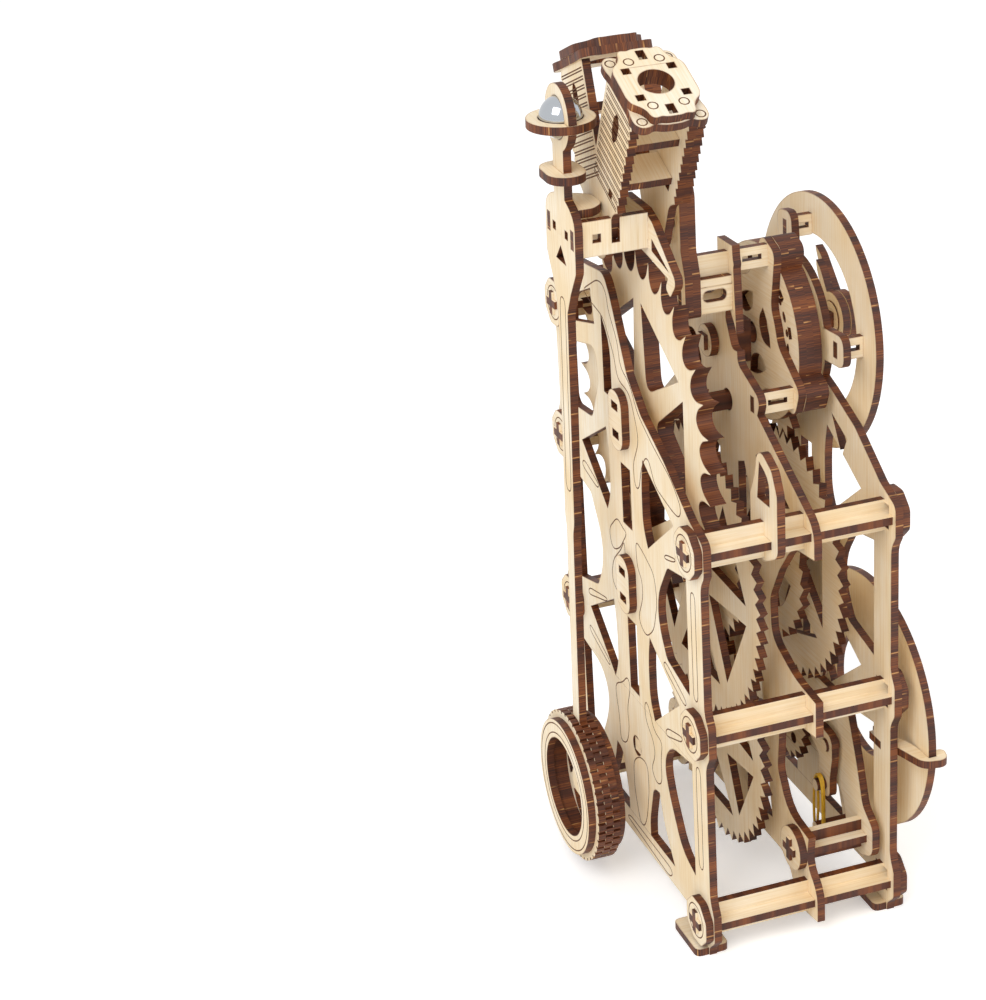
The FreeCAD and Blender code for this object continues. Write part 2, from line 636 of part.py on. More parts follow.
def short_strips():
    start = MIDDLE_AT - PLY - END_STANDS
    end = WINDING_AT + PLY + END_STANDS
    stretches = [(start, MIDDLE_OUT, TENON), (MIDDLE_OUT, WINDING_AT, BEAM_TALL - BEAM_STEP),
                 (WINDING_AT, end, TENON)]
    middle = (start + end) / 2
    shapes = []
    for centre in SHORT_BEAMS:
        shapes.append(strip(centre, stretches, middle, end, True))
        shapes.append(strip(centre, stretches, middle, start, False))
    return group(shapes)


def cap(centre, at, radius):
    sides = 8
    return many_sided(centre, radius / math.cos(math.pi / sides), at, sides).cut(plus(centre, at))


def end_caps_rear():
    return group([cap(p, -2 * PLY, CAP_R) for p in BEAMS])


def end_caps_front():
    return group([cap(p, FRONT_OUT, CAP_R) for p in BEAMS])


def short_beam_caps():
    return group([cap(p, MIDDLE_AT - PLY, SHORT_CAP_R) for p in SHORT_BEAMS])


def feet():
    shapes = []
    for plate_at in (-PLY, FRONT_IN):
        x = plate_at + HALF
        for y in (-CORNER, CORNER):
            points = [(x - FOOT_WIDE / 2, y - FOOT_LONG / 2, 3), (x + FOOT_WIDE / 2, y - FOOT_LONG / 2, 3),
                      (x + FOOT_WIDE / 2, y + FOOT_LONG / 2, 3), (x - FOOT_WIDE / 2, y + FOOT_LONG / 2, 3)]
            tab = block(plate_at, plate_at + PLY, y - TAB / 2, y + TAB / 2, 0, PLY)
            shapes.append(sheet(points, 0, PLY, "z").cut(tab))
    return group(shapes)


def bearing_caps():
    """Pill-shaped caps over the arbor ends on the rear plate, on two small pegs each."""
    shapes = []
    for y, z in (CENTRE_AT, ESCAPE_AT):
        pill = oval((y, z), 6.5, 11.5, -2 * PLY)
        holes = [sheet(rectangle(y - 3, y + 3, z + step - HALF, z + step + HALF), -2 * PLY)
                 for step in (-5.5, 5.5)]
        shapes.append(cut(pill, holes))
    return group(shapes)


# Posts between sheets

def post(centre, x0, x1, into_start, into_end, slotted=True):
    """A post on edge with a tenon at each end and a slot along its side."""
    y, z = centre
    tall = POST_TALL / 2
    tenon = POST_TENON / 2
    low = [(x0, z - tall), (x1, z - tall)]
    high = [(x1, z + tall), (x0, z + tall)]
    if into_end > 0:
        low += [(x1, z - tenon), (x1 + into_end, z - tenon), (x1 + into_end, z + tenon),
                (x1, z + tenon)]
    if into_start > 0:
        high += [(x0, z + tenon), (x0 - into_start, z + tenon), (x0 - into_start, z - tenon),
                 (x0, z - tenon)]
    body = sheet(low + high, y - HALF, PLY, "y")
    if slotted:
        x = (x0 + x1) / 2
        reach = 0.3 * (x1 - x0)
        body = body.cut(sheet(rectangle(x - reach, x + reach, z - 1, z + 1), y - HALF, PLY, "y"))
    return body


def drum_posts():
    """Posts of the drum, the top one carried on as a strip behind the middle plate."""
    drum_deep = DRUM_PLIES * PLY
    shapes = [post(p, MIDDLE_OUT, DRUM_AT, PLY, drum_deep) for p in DRUM_POSTS]
    return group(shapes + [post(DRUM_POSTS[0], BRACKET_AT + 2 * PLY, MIDDLE_AT, 0, 0, False)])


def ring_posts():
    return group([post(p, FRONT_OUT, RING_AT, PLY, 0) for p in RING_POSTS + list(LOWER_POSTS)])


# Drum about the dial arbor

def round_drum(at):
    """A round plate with an ear at each drum post."""
    ears = [ear(DIAL_AT, a, DRUM_POST_R + EAR, EAR + 1, at) for a in DRUM_ANGLES]
    plate = join(many_sided(DIAL_AT, DRUM_R, at, DRUM_SIDES), ears)
    return cut(plate, [post_tenon(p, at) for p in DRUM_POSTS])


def drum_cage():
    """The drum's first plate, hollow-sided between the ears of its posts."""
    order = sorted(DRUM_ANGLES)
    waist = 0.65 * DRUM_R
    points = []
    for i, angle in enumerate(order):
        after = order[(i + 1) % len(order)]
        points.append(polar(DIAL_AT, DRUM_POST_R + EAR, angle - 8) + (4.0,))
        points.append(polar(DIAL_AT, DRUM_POST_R + EAR, angle + 8) + (4.0,))
        between = angle + ((after - angle) % 360) / 2
        points += [polar(DIAL_AT, waist, between + step) for step in (-18, 0, 18)]
    tools = [bore(DIAL_AT, DRUM_AT)]
    tools += [post_tenon(p, DRUM_AT) for p in DRUM_POSTS]
    for angle in (67, 157, 250, 340):
        tools.append(sector(DIAL_AT, 9, 16, angle - 28, angle + 28, DRUM_AT))
    return cut(sheet(points, DRUM_AT), tools)


def drum_face():
    """The drum's second plate, with a ring of slots."""
    at = DRUM_AT + PLY
    slots = 12
    tools = [bore(DIAL_AT, at)]
    for i in range(slots):
        angle = 360.0 * (i + 0.5) / slots
        inner = 0.76 * DRUM_R
        outer = inner + 2.6
        points = [polar(DIAL_AT, inner, angle - 5), polar(DIAL_AT, outer, angle - 4),
                  polar(DIAL_AT, outer, angle + 4), polar(DIAL_AT, inner, angle + 5)]
        tools.append(sheet(points, at))
    return cut(round_drum(at), tools)


def drum_rim():
    """Two open rims in front of the drum's face, cut away beside the idler pinion."""
    rims = []
    for at in (DRUM_AT + 2 * PLY, DRUM_AT + 3 * PLY):
        hollow = many_sided(DIAL_AT, 0.76 * DRUM_R, at, 16)
        idler = many_sided(IDLER_AT, IDLER_R + 4.0, at)
        rims.append(cut(round_drum(at), [hollow, idler]))
    return group(rims)


# Wheels and arbors

ARBOR_HALF = ARBOR_R / math.sqrt(2)


def on_arbor(wheel, centre, at, thick=PLY):
    """Square hole for the arbor."""
    return wheel.cut(square(centre, ARBOR_HALF, at, thick))


def arbor(centre, start, end):
    """A square arbor whose corners run in round bores."""
    return square(centre, ARBOR_HALF, start, end - start)


def great_wheel():
    wheel = gear(GREAT_AT, TRAIN_1, GREAT_TEETH, GREAT_PHASE, GREAT_WHEEL_AT)
    wheel = cut(wheel, spoked(GREAT_AT, HUB_R, GREAT_R - FELLOE + 2, 6, 7, GREAT_WHEEL_AT))
    return on_arbor(wheel, GREAT_AT, GREAT_WHEEL_AT)


def great_arbor():
    return arbor(GREAT_AT, -PLY + GAP, WINDING_AT + PLY)


def ratchet_wheel():
    wheel = saw_wheel(GREAT_AT, RATCHET_R, TOOTH_DEEP, RATCHET_TEETH, RATCHET_AT)
    holes = [many_sided(polar(GREAT_AT, 10.6, 45 + 90 * i), 2.6, RATCHET_AT, 6) for i in range(4)]
    return on_arbor(cut(wheel, holes), GREAT_AT, RATCHET_AT)


def click():
    """Pawl that stands just clear of the ratchet's teeth, with a hook pin in its tail."""
    nose = polar(GREAT_AT, RATCHET_R + 0.6, 168)
    heel = polar(GREAT_AT, RATCHET_R + 5.0, 155)
    y, z = CLICK_PIVOT
    hy, hz = BAND_HOOK
    points = [(y - 5, z - 4, 4), (hy - 5, hz + 4, 3), (hy - 5, hz - 5, 4), (hy + 5, hz - 5, 4),
              (hy + 5, hz + 3, 3), (y + 6, z - 7, 3), nose, heel, (y + 3, z + 6, 4),
              (y - 5, z + 5, 4)]
    plate = cut(sheet(points, RATCHET_AT), [clear_hole(CLICK_PIVOT, PIN_R + RUN, RATCHET_AT),
                                            many_sided(BAND_HOOK, PIN_R, RATCHET_AT)])
    pin_from = BAND_AT - BAND_R - 1
    pin = many_sided(BAND_HOOK, PIN_R, pin_from, ROUND, RATCHET_AT + PLY - pin_from)
    return group([plate, pin])


def fixed_pins():
    """Dowels for the idler pinion and the click, and the peg of the rubber bands."""
    click_from = RATCHET_AT - 1
    band_from = BAND_AT - BAND_R - 1
    return group([many_sided(IDLER_AT, PIN_R, MOTION_WHEEL_AT, ROUND, FRONT_OUT - MOTION_WHEEL_AT),
                  many_sided(CLICK_PIVOT, PIN_R, click_from, ROUND, WINDING_AT + PLY - click_from),
                  many_sided(BAND_PEG, PIN_R, band_from, ROUND, FRONT_OUT - band_from)])


def rubber_bands():
    """Two stretched loops side by side, from the click's hook pin down to the peg."""
    y, low = BAND_PEG
    high = BAND_HOOK[1]
    inner = PIN_R + 0.1
    outer = inner + 2 * BAND_R
    loops = []
    for x in (BAND_AT - BAND_R - 0.1, BAND_AT + 0.1):
        tall = (high - low) / 2
        band = oval((y, low + tall), outer, tall + outer, x, BAND_R)
        hollow = oval((y, low + tall), inner, tall + inner, x, BAND_R)
        loops.append(band.cut(hollow))
    return group(loops)


def centre_pinion():
    thick = 2 * PLY
    wheel = gear(CENTRE_AT, TRAIN_1, CENTRE_TEETH, CENTRE_PHASE, GREAT_WHEEL_AT, thick)
    return on_arbor(wheel, CENTRE_AT, GREAT_WHEEL_AT, thick)


def third_wheel():
    wheel = gear(CENTRE_AT, TRAIN_2, THIRD_TEETH, THIRD_PHASE, THIRD_WHEEL_AT)
    wheel = cut(wheel, spoked(CENTRE_AT, HUB_R, THIRD_R - FELLOE, 6, 8, THIRD_WHEEL_AT))
    return on_arbor(wheel, CENTRE_AT, THIRD_WHEEL_AT)


def brake_wheel():
    wheel = saw_wheel(CENTRE_AT, BRAKE_WHEEL_R, TOOTH_DEEP, BRAKE_TEETH, BRAKE_WHEEL_AT)
    for i in range(4):
        wheel = wheel.cut(sector(CENTRE_AT, HUB_R, BRAKE_WHEEL_R - FELLOE, 90 * i + 12,
                                 90 * i + 78, BRAKE_WHEEL_AT))
    return on_arbor(wheel, CENTRE_AT, BRAKE_WHEEL_AT)


def motion_wheel():
    wheel = gear(CENTRE_AT, TRAIN_1, MOTION_TEETH, MOTION_PHASE, MOTION_WHEEL_AT)
    wheel = cut(wheel, spoked(CENTRE_AT, HUB_R, MOTION_R - FELLOE, 5, 8, MOTION_WHEEL_AT))
    return on_arbor(wheel, CENTRE_AT, MOTION_WHEEL_AT)


def centre_arbor():
    """Square arbor, thinner where it passes close under the escape wheel."""
    neck_half = NECK_R / math.sqrt(2)
    neck_from = -PLY + GAP
    full_from = THIRD_WHEEL_AT - 10
    neck = square(CENTRE_AT, neck_half, neck_from, full_from - neck_from)
    return neck.fuse(arbor(CENTRE_AT, full_from, FRONT_OUT))


def escape_pinion():
    wheel = gear(ESCAPE_AT, TRAIN_2, ESCAPE_TEETH, ESCAPE_PHASE, THIRD_WHEEL_AT)
    return on_arbor(wheel, ESCAPE_AT, THIRD_WHEEL_AT)


def escape_arbor():
    return arbor(ESCAPE_AT, -PLY + GAP, MIDDLE_OUT)


def escape_wheel(at):
    """Notches between pointed crests, and six windows between the spokes."""
    points = []
    shoulder = ESCAPE_R - NOTCH_SHOULDER
    side = math.degrees(math.asin(NOTCH_HALF / shoulder))
    for i in range(NOTCHES):
        mid = 90.0 + (i + 0.5) * 360.0 / NOTCHES
        points.append(polar(ESCAPE_AT, ESCAPE_R, mid - 180.0 / NOTCHES))
        points.append(polar(ESCAPE_AT, shoulder, mid - side))
        points.append(polar(ESCAPE_AT, ESCAPE_R - NOTCH_DEEP, mid))
        points.append(polar(ESCAPE_AT, shoulder, mid + side))
    wheel = cut(sheet(points, at), spoked(ESCAPE_AT, HUB_R, ESCAPE_R - NOTCH_DEEP - 9, 6, 7, at, 30))
    return on_arbor(wheel, ESCAPE_AT, at)


def idler_pinion():
    at = MOTION_WHEEL_AT
    wheel = gear(IDLER_AT, TRAIN_1, IDLER_TEETH, IDLER_PHASE, at)
    return wheel.cut(clear_hole(IDLER_AT, PIN_R + RUN, at))


def dial_wheel():
    wheel = gear(DIAL_AT, TRAIN_1, DIAL_TEETH, DIAL_PHASE, MOTION_WHEEL_AT)
    return on_arbor(wheel, DIAL_AT, MOTION_WHEEL_AT)


def dial_arbor():
    """Square arbor with a round bush at its end for the two hands."""
    bush_from = HOUR_AT - GAP
    end = MINUTE_AT + PLY
    bush = many_sided(DIAL_AT, BUSH_R, bush_from, 16, end - bush_from)
    return arbor(DIAL_AT, MIDDLE_AT - PLY - 2, bush_from).fuse(bush)


def dial_arbor_cap():
    at = MIDDLE_AT - GAP - PLY
    return on_arbor(many_sided(DIAL_AT, BUSH_R, at), DIAL_AT, at)


def dial_sleeve():
    """Square box round the dial arbor between the middle plate and the drum."""
    start = MIDDLE_OUT + GAP
    deep = DRUM_AT - 4.0 - start
    return on_arbor(square(DIAL_AT, 2 * ARBOR_R, start, deep), DIAL_AT, start, deep)


# Dial

def ring(centre, outer, inner, at):
    return many_sided(centre, outer, at, WIDE_ROUND).cut(many_sided(centre, inner, at, WIDE_ROUND))


def dial_ring():
    return ring(DIAL_AT, RING_R, RING_HOLE_R, RING_AT)


def lower_ring():
    return ring(LOWER_RING_AT, LOWER_RING_R, LOWER_HOLE_R, RING_AT)


def ring_shelf():
    """Flat shelf from the front plate that hooks round the lower ring's near edge."""
    y, z = SHELF_AT
    drop = z + HALF - LOWER_RING_AT[1]
    edge = LOWER_RING_AT[0] - math.sqrt(LOWER_RING_R ** 2 - drop ** 2) - 0.2
    far = edge - 3.9
    out = RING_AT + PLY
    points = [(FRONT_IN, y - TAB / 2), (FRONT_OUT, y - TAB / 2), (FRONT_OUT, y - TAB / 2 - 4),
              (FRONT_OUT + 4, far + 2, 5), (out + 3, far, 4), (out + 5, far + 8, 4),
              (out, far + 8), (out, edge), (RING_AT, edge), (RING_AT, far + 14),
              (FRONT_OUT, y + TAB / 2 + 3), (FRONT_OUT, y + TAB / 2), (FRONT_IN, y + TAB / 2)]
    return sheet(points, z, PLY, "z")


def hand(length, at, turn):
    """A hand with a ring hub, at a clockwise angle from upright seen from the dial side."""
    y, z = DIAL_AT
    tip = z + length
    points = [(y - HAND_WIDE / 2, z), (y + HAND_WIDE / 2, z), (y + HAND_WIDE / 2 - 0.6, tip - 4),
              (y, tip), (y - HAND_WIDE / 2 + 0.6, tip - 4)]
    shape = join(many_sided(DIAL_AT, HAND_HUB_R, at, 20), [sheet(points, at)])
    shape = shape.cut(clear_hole(DIAL_AT, BUSH_R + RUN, at, 16))
    return turned(shape, -turn, DIAL_AT)


def hour_hand():
    hours, minutes = TIME_SHOWN
    return hand(HOUR_HAND, HOUR_AT, 30.0 * hours + minutes / 2)


def minute_hand():
    return hand(MINUTE_HAND, MINUTE_AT, 6.0 * TIME_SHOWN[1])


# Bridge and pivot

def bridge_rails():
    """Two rails on edge from the middle plate to the brackets, tenoned through both."""
    low = BRIDGE_LOW
    high = BRIDGE_HIGH
    start = BRACKET_AT
    face = start + 2 * PLY
    points = [(start, low + PLY), (face, low + PLY), (face, low), (MIDDLE_AT, low),
              (MIDDLE_AT, low + PLY), (MIDDLE_OUT, low + PLY), (MIDDLE_OUT, high - PLY),
              (MIDDLE_AT, high - PLY), (MIDDLE_AT, high), (face, high), (face, high - PLY),
              (start, high - PLY)]
    rails = []
    for y in (-BRIDGE_HALF, BRIDGE_HALF):
        rail = sheet(points, y - HALF, PLY, "y")
        mid = ((face + MIDDLE_AT) / 2, (low + high) / 2)
        rails.append(rail.cut(oval(mid, 4.5, 2.2, y - HALF, PLY, "y")))
    return group(rails)


def pivot_brackets():
    """Two plies that stand on the rails and carry the pivot dowel."""
    y, z = PIVOT_AT
    low = BRIDGE_LOW
    points = [(-10, low, 2), (10, low, 2), (10, BRIDGE_HIGH + 3, 3), (7, z - 10, 5),
              (7, z + BRACKET_TOP, 6), (-7, z + BRACKET_TOP, 6), (-7, z - 10, 5),
              (-10, BRIDGE_HIGH + 3, 3)]
    plies = []
    for at in (BRACKET_AT, BRACKET_AT + PLY):
        tools = [clear_hole(PIVOT_AT, PIN_R + RUN, at)]
        for rail in (-BRIDGE_HALF, BRIDGE_HALF):
            tools.append(sheet(rectangle(rail - HALF, rail + HALF, low + PLY, BRIDGE_HIGH - PLY), at))
        plies.append(cut(sheet(points, at), tools))
    return group(plies)


# Pendulum

BOX_AT = (-BOX_HALF, BOX_HALF)


def box_slots(at):
    """The slots that take the tenons of the box's two side plates."""
    return [sheet(rectangle(y - HALF, y + HALF, BOX_LOW + PLY, BOX_HIGH - PLY), at) for y in BOX_AT]


def pendulum_plate():
    """Long plate with the ball's ring at its top and the bob at its foot."""
    z = PIVOT_AT[1]
    rod_step = BOB_Z + 4 * BOB_R
    half = [(5.2, HEAD_RING_Z - 10), (5.2, z + 15.4), (FORK_HALF - 4, z + 13.4),
            (FORK_HALF, z + 9.4), (FORK_HALF, z - 8.6, 3), (9, z - 17.6, 5), (ROD_HALF, z - 26.6, 5),
            (ROD_HALF, rod_step), (ROD_LOW_HALF, rod_step - 4), (ROD_LOW_HALF, BOB_Z + 6),
            (6.5, BOB_Z + 3), (6.5, BOB_Z - 5, 4)]
    plate = sheet(half + mirror(half), FORK_AT)
    plate = join(plate, [many_sided((0, HEAD_RING_Z), HEAD_RING_R, FORK_AT, 20)])
    tools = [clear_hole((0, HEAD_RING_Z), BALL_R, FORK_AT, 16)]
    tools.append(many_sided((0, BOB_Z), 1.6, FORK_AT, 6))
    tools += box_slots(FORK_AT)
    tools += both(rectangle(-7.5, -4.5, z + 1.4, z + 4.4), FORK_AT)
    tools.append(sheet([(-5, z - 8.6), (5, z - 8.6), (0, z - 2.6)], FORK_AT))
    return cut(plate, tools)


def steel_ball():
    """A ball as level bands of flat facets, with its corners on the true radius."""
    bands = 6
    centre = Vector(FORK_AT + HALF, 0, HEAD_RING_Z)
    rings = []
    for i in range(1, bands):
        level = math.pi * (i / bands - 0.5)
        rings.append([centre.add(Vector(BALL_R * math.cos(level) * math.cos(2 * math.pi * j / ROUND),
                                        BALL_R * math.cos(level) * math.sin(2 * math.pi * j / ROUND),
                                        BALL_R * math.sin(level))) for j in range(ROUND)])
    faces = []
    for j in range(ROUND):
        k = (j + 1) % ROUND
        faces.append(facet([centre.add(Vector(0, 0, -BALL_R)), rings[0][j], rings[0][k]]))
        faces.append(facet([centre.add(Vector(0, 0, BALL_R)), rings[-1][k], rings[-1][j]]))
        for lower, upper in zip(rings, rings[1:]):
            faces.append(facet([lower[j], lower[k], upper[k], upper[j]]))
    return Part.makeSolid(Part.makeShell(faces))


def facet(points):
    return Part.Face(Part.makePolygon(points + points[:1]))


def halo_plate():
    """Flat ring round the ball, slotted on the pendulum's head."""
    x = FORK_AT + HALF
    plate = many_sided((x, 0), HALO_R, HALO_Z, 20, PLY, "z")
    hole = clear_hole((x, 0), BALL_R + 0.3, HALO_Z, ROUND, PLY, "z")
    slot = sheet(rectangle(FORK_AT, FORK_AT + PLY, -HEAD_RING_R, HEAD_RING_R), HALO_Z, PLY, "z")
    return cut(plate, [hole, slot])


def pendulum_collar():
    x = FORK_AT + HALF
    points = [(x - 7, -6), (x - 3, -10), (x + 3, -10), (x + 7, -6), (x + 7, 6), (x + 3, 10),
              (x - 3, 10), (x - 7, 6)]
    plate = sheet(points, COLLAR_Z, PLY, "z")
    return plate.cut(block(FORK_AT, FORK_AT + PLY, -5.2, 5.2, COLLAR_Z, COLLAR_Z + PLY))


def box_sides():
    """Side plates of the box, from the long plate through the rear cylinders to the anchor."""
    low = BOX_LOW
    high = BOX_HIGH
    x0 = FORK_AT + PLY
    x1 = ESCAPE_WHEEL_AT
    rear = CYL_REAR_AT
    points = [(FORK_AT, low + PLY), (x0, low + PLY), (x0, low), (x1, low), (x1, low + PLY),
              (x1 + PLY, low + PLY), (x1 + PLY, high - PLY), (x1, high - PLY), (x1, high),
              (rear + PLY, high), (rear + PLY, low + 4), (rear, low + 4), (rear, high),
              (x0, high), (x0, high - PLY), (FORK_AT, high - PLY)]
    mid = (x0 + rear) / 2
    window = rectangle(mid - HALF, mid + HALF, low + 5, low + 8)
    return group([sheet(points, y - HALF, PLY, "y").cut(sheet(window, y - HALF, PLY, "y"))
                  for y in BOX_AT])


def box_top():
    x0 = FORK_AT + PLY
    x1 = CYL_REAR_AT
    points = [(x0, -9), (x1 - 5, -9, 4), (x1, -5), (x1, 5), (x1 - 5, 9, 4), (x0, 9)]
    return sheet(points, BOX_HIGH, PLY, "z")


def leaned(out, side):
    """Place across Y and over the pivot of a point out along the leaning cylinder's axis."""
    a = math.radians(LEAN)
    return (out * math.sin(a) + side * math.cos(a),
            PIVOT_AT[1] + out * math.cos(a) - side * math.sin(a))


def fin_edge(top):
    """The toothed outer edge of a cylinder, from its lowest fin up."""
    points = []
    out = FIN_START
    while out + FIN_PITCH < top:
        points.append(leaned(out, CYL_HALF - FIN_DEEP))
        points.append(leaned(out + 0.4 * FIN_PITCH, CYL_HALF))
        out += FIN_PITCH
    return points + [leaned(out, CYL_HALF - FIN_DEEP), leaned(top, CYL_HALF)]


def crotch():
    """Where the inner edges of the two cylinders meet over the pivot."""
    out = CYL_HALF / math.tan(math.radians(LEAN))
    return (0.0, leaned(out, -CYL_HALF)[1])


def vee_plate(at):
    """End plate of both cylinders, one sheet in a V about the pivot."""
    z = PIVOT_AT[1]
    top = HEAD_OUT - 2 * PLY
    half = [(4.0, z - 9.4), (8.6, z - 4.6), (9.8, z + 0.2), leaned(FIN_START - 3, CYL_LEG)]
    half += fin_edge(top) + [leaned(top, -CYL_HALF)]
    right = half + [crotch()]
    plate = sheet(right + mirror(half), at)
    tools = [clear_hole(PIVOT_AT, PIN_R, at)]
    oval_from = top - 18
    oval_to = top - 6
    slot = [leaned(oval_from, 0), leaned(oval_from + 2.5, 2.4), leaned(oval_to - 2.5, 2.4),
            leaned(oval_to, 0), leaned(oval_to - 2.5, -2.4), leaned(oval_from + 2.5, -2.4)]
    peg = [leaned(FIN_START + 2, 3), leaned(FIN_START + 2, 6), leaned(FIN_START + 5, 6),
           leaned(FIN_START + 5, 3)]
    tools += both(slot, at) + both(peg, at)
    return cut(plate, tools)


def vee_plates():
    return group([vee_plate(CYL_REAR_AT), vee_plate(CYL_FRONT_AT)])


def fin_stacks():
    """Shorter finned sheet glued on the front of both cylinders."""
    top = HEAD_OUT - 4 * PLY
    half = [leaned(FIN_START, 0.4 * CYL_HALF)] + fin_edge(top) + [leaned(top, -CYL_HALF)]
    foot = (0.0, leaned(FIN_START, 0)[1] + PLY)
    return sheet([foot] + half + [crotch()] + mirror(half), CYL_FRONT_AT + PLY)


def cylinder_braces():
    """Plates between the end plates, two in each cylinder."""
    y, z = PIVOT_AT
    shapes = []
    for out in (FIN_START + 6.0, FIN_START + 23.0):
        piece = block(CYL_REAR_AT + PLY, CYL_FRONT_AT, y - 7, y + 7, z + out, z + out + PLY)
        shapes += [turned(piece, LEAN), turned(piece, -LEAN)]
    return group(shapes)


def four_ways(quarter):
    """A closed outline from the points of its first quarter, as (X, along the lean)."""
    x = HEAD_MID_X
    half = quarter + [(-a, b) for a, b in reversed(quarter)]
    whole = half + [(-a, -b) for a, b in half]
    return [(x + a, b) for a, b in whole]


def head_gasket():
    """Lower plate of a cylinder head, with a lobe for a bolt at each corner."""
    at = PIVOT_AT[1] + HEAD_OUT - 2 * PLY
    lobes = [(11.5, 9), (13.3, 12.5), (13.3, 17), (11.5, 18.6), (8, 18.6), (6, 16.5)]
    plate = sheet(four_ways(lobes), at, PLY, "z")
    return plate.cut(many_sided((HEAD_MID_X, 0), HEAD_HOLE_R, at, ROUND, PLY, "z"))


def head_cover():
    """Upper plate of a cylinder head, drawn in between the bolts."""
    at = PIVOT_AT[1] + HEAD_OUT - PLY
    x = HEAD_MID_X
    plate = sheet(four_ways([(12.7, 8.5), (9.6, 11), (6, 16), (3.5, 18)]), at, PLY, "z")
    tools = [many_sided((x, 0), HEAD_HOLE_R, at, ROUND, PLY, "z")]
    for a in (-8.1, 8.1):
        for b in (-6.9, 6.9):
            tools.append(sheet(rectangle(x + a - HALF, x + a + HALF, b - HALF, b + HALF), at, PLY, "z"))
    return cut(plate, tools)


def cylinder_heads():
    pieces = [head_gasket(), head_cover()]
    return group([turned(piece, lean) for piece in pieces for lean in (LEAN, -LEAN)])


def anchor():
    """Escape anchor: two arms in a shallow V with a pallet at each end."""
    z = PIVOT_AT[1]
    at = ESCAPE_WHEEL_AT
    angle = 90 + PALLET_STEP * 360.0 / NOTCHES
    lever = (ESCAPE_R + PIVOT_OVER) * math.sin(math.radians(angle - 90))
    tip = ESCAPE_R + PALLET_CLEAR + lever * math.sin(math.radians(SWING_SHOWN))
    side = math.degrees(math.asin(PALLET_WIDE / 2 / tip))
    half = [(-9, z + 9.5, 4), (-BOX_HALF - 5, z + 7, 5),
            polar(ESCAPE_AT, tip + PALLET_TALL, angle + side + 1) + (3.0,),
            polar(ESCAPE_AT, tip, angle + side) + (1.6,),
            polar(ESCAPE_AT, tip, angle - side) + (1.6,),
            polar(ESCAPE_AT, tip + 4.6, angle - side),
            (-8, ESCAPE_AT[1] + ESCAPE_R + 2.6)]
    arm_end = polar(ESCAPE_AT, tip + 7.4, angle - 2)
    window = [(-BOX_HALF - 4.6, z + 0.8), arm_end, (-BOX_HALF - 4.6, z - 3.6)]
    tools = [clear_hole(PIVOT_AT, PIN_R, at)] + box_slots(at) + both(window, at)
    return cut(sheet(half + mirror(half), at), tools)


def pivot_pin():
    start = CYL_REAR_AT - PIN_TIP
    return many_sided(PIVOT_AT, PIN_R, start, ROUND, BRACKET_AT + 2 * PLY + PIN_TIP - start)


# Bob, built up like a tyre

BOB_AT = (0.0, BOB_Z)
RIM_R = BOB_R - TREAD_DEEP


def bob_sides():
    shapes = []
    for at in (BOB_START, BOB_START + BOB_WIDE - PLY):
        hole = many_sided(BOB_AT, BOB_HOLE_R, at, 20)
        shapes.append(many_sided(BOB_AT, RIM_R, at, 24).cut(hole))
    return group(shapes)


def bob_tread():
    """Tread blocks with a gap where the rod enters."""
    step = 360.0 / TREADS
    blocks = []
    for i in range(TREADS):
        angle = step * (i + 0.5) - 90.0
        if abs(angle) < 1.6 * step:
            continue
        piece = block(BOB_START, BOB_START + BOB_WIDE, -1.9, 1.9, BOB_Z + RIM_R, BOB_Z + BOB_R)
        blocks.append(turned(piece, angle, BOB_AT))
    return group(blocks)


def bob_core():
    """Middle ring with three rounded spokes and a hub, open above for the rod."""
    at = FORK_AT + PLY
    spokes = 3
    windows = []
    for i in range(spokes):
        mid = 150.0 + 360.0 * i / spokes
        inner = BOB_HOLE_R - 1
        points = [polar(BOB_AT, 7.0, mid - 30), polar(BOB_AT, 7.0, mid + 30),
                  polar(BOB_AT, 12.0, mid + 40), polar(BOB_AT, inner, mid + 50),
                  polar(BOB_AT, inner + 3, mid + 25), polar(BOB_AT, inner + 3, mid),
                  polar(BOB_AT, inner + 3, mid - 25), polar(BOB_AT, inner, mid - 50),
                  polar(BOB_AT, 12.0, mid - 40)]
        windows.append(sheet(points, at))
    return cut(many_sided(BOB_AT, RIM_R, at, 24), windows)


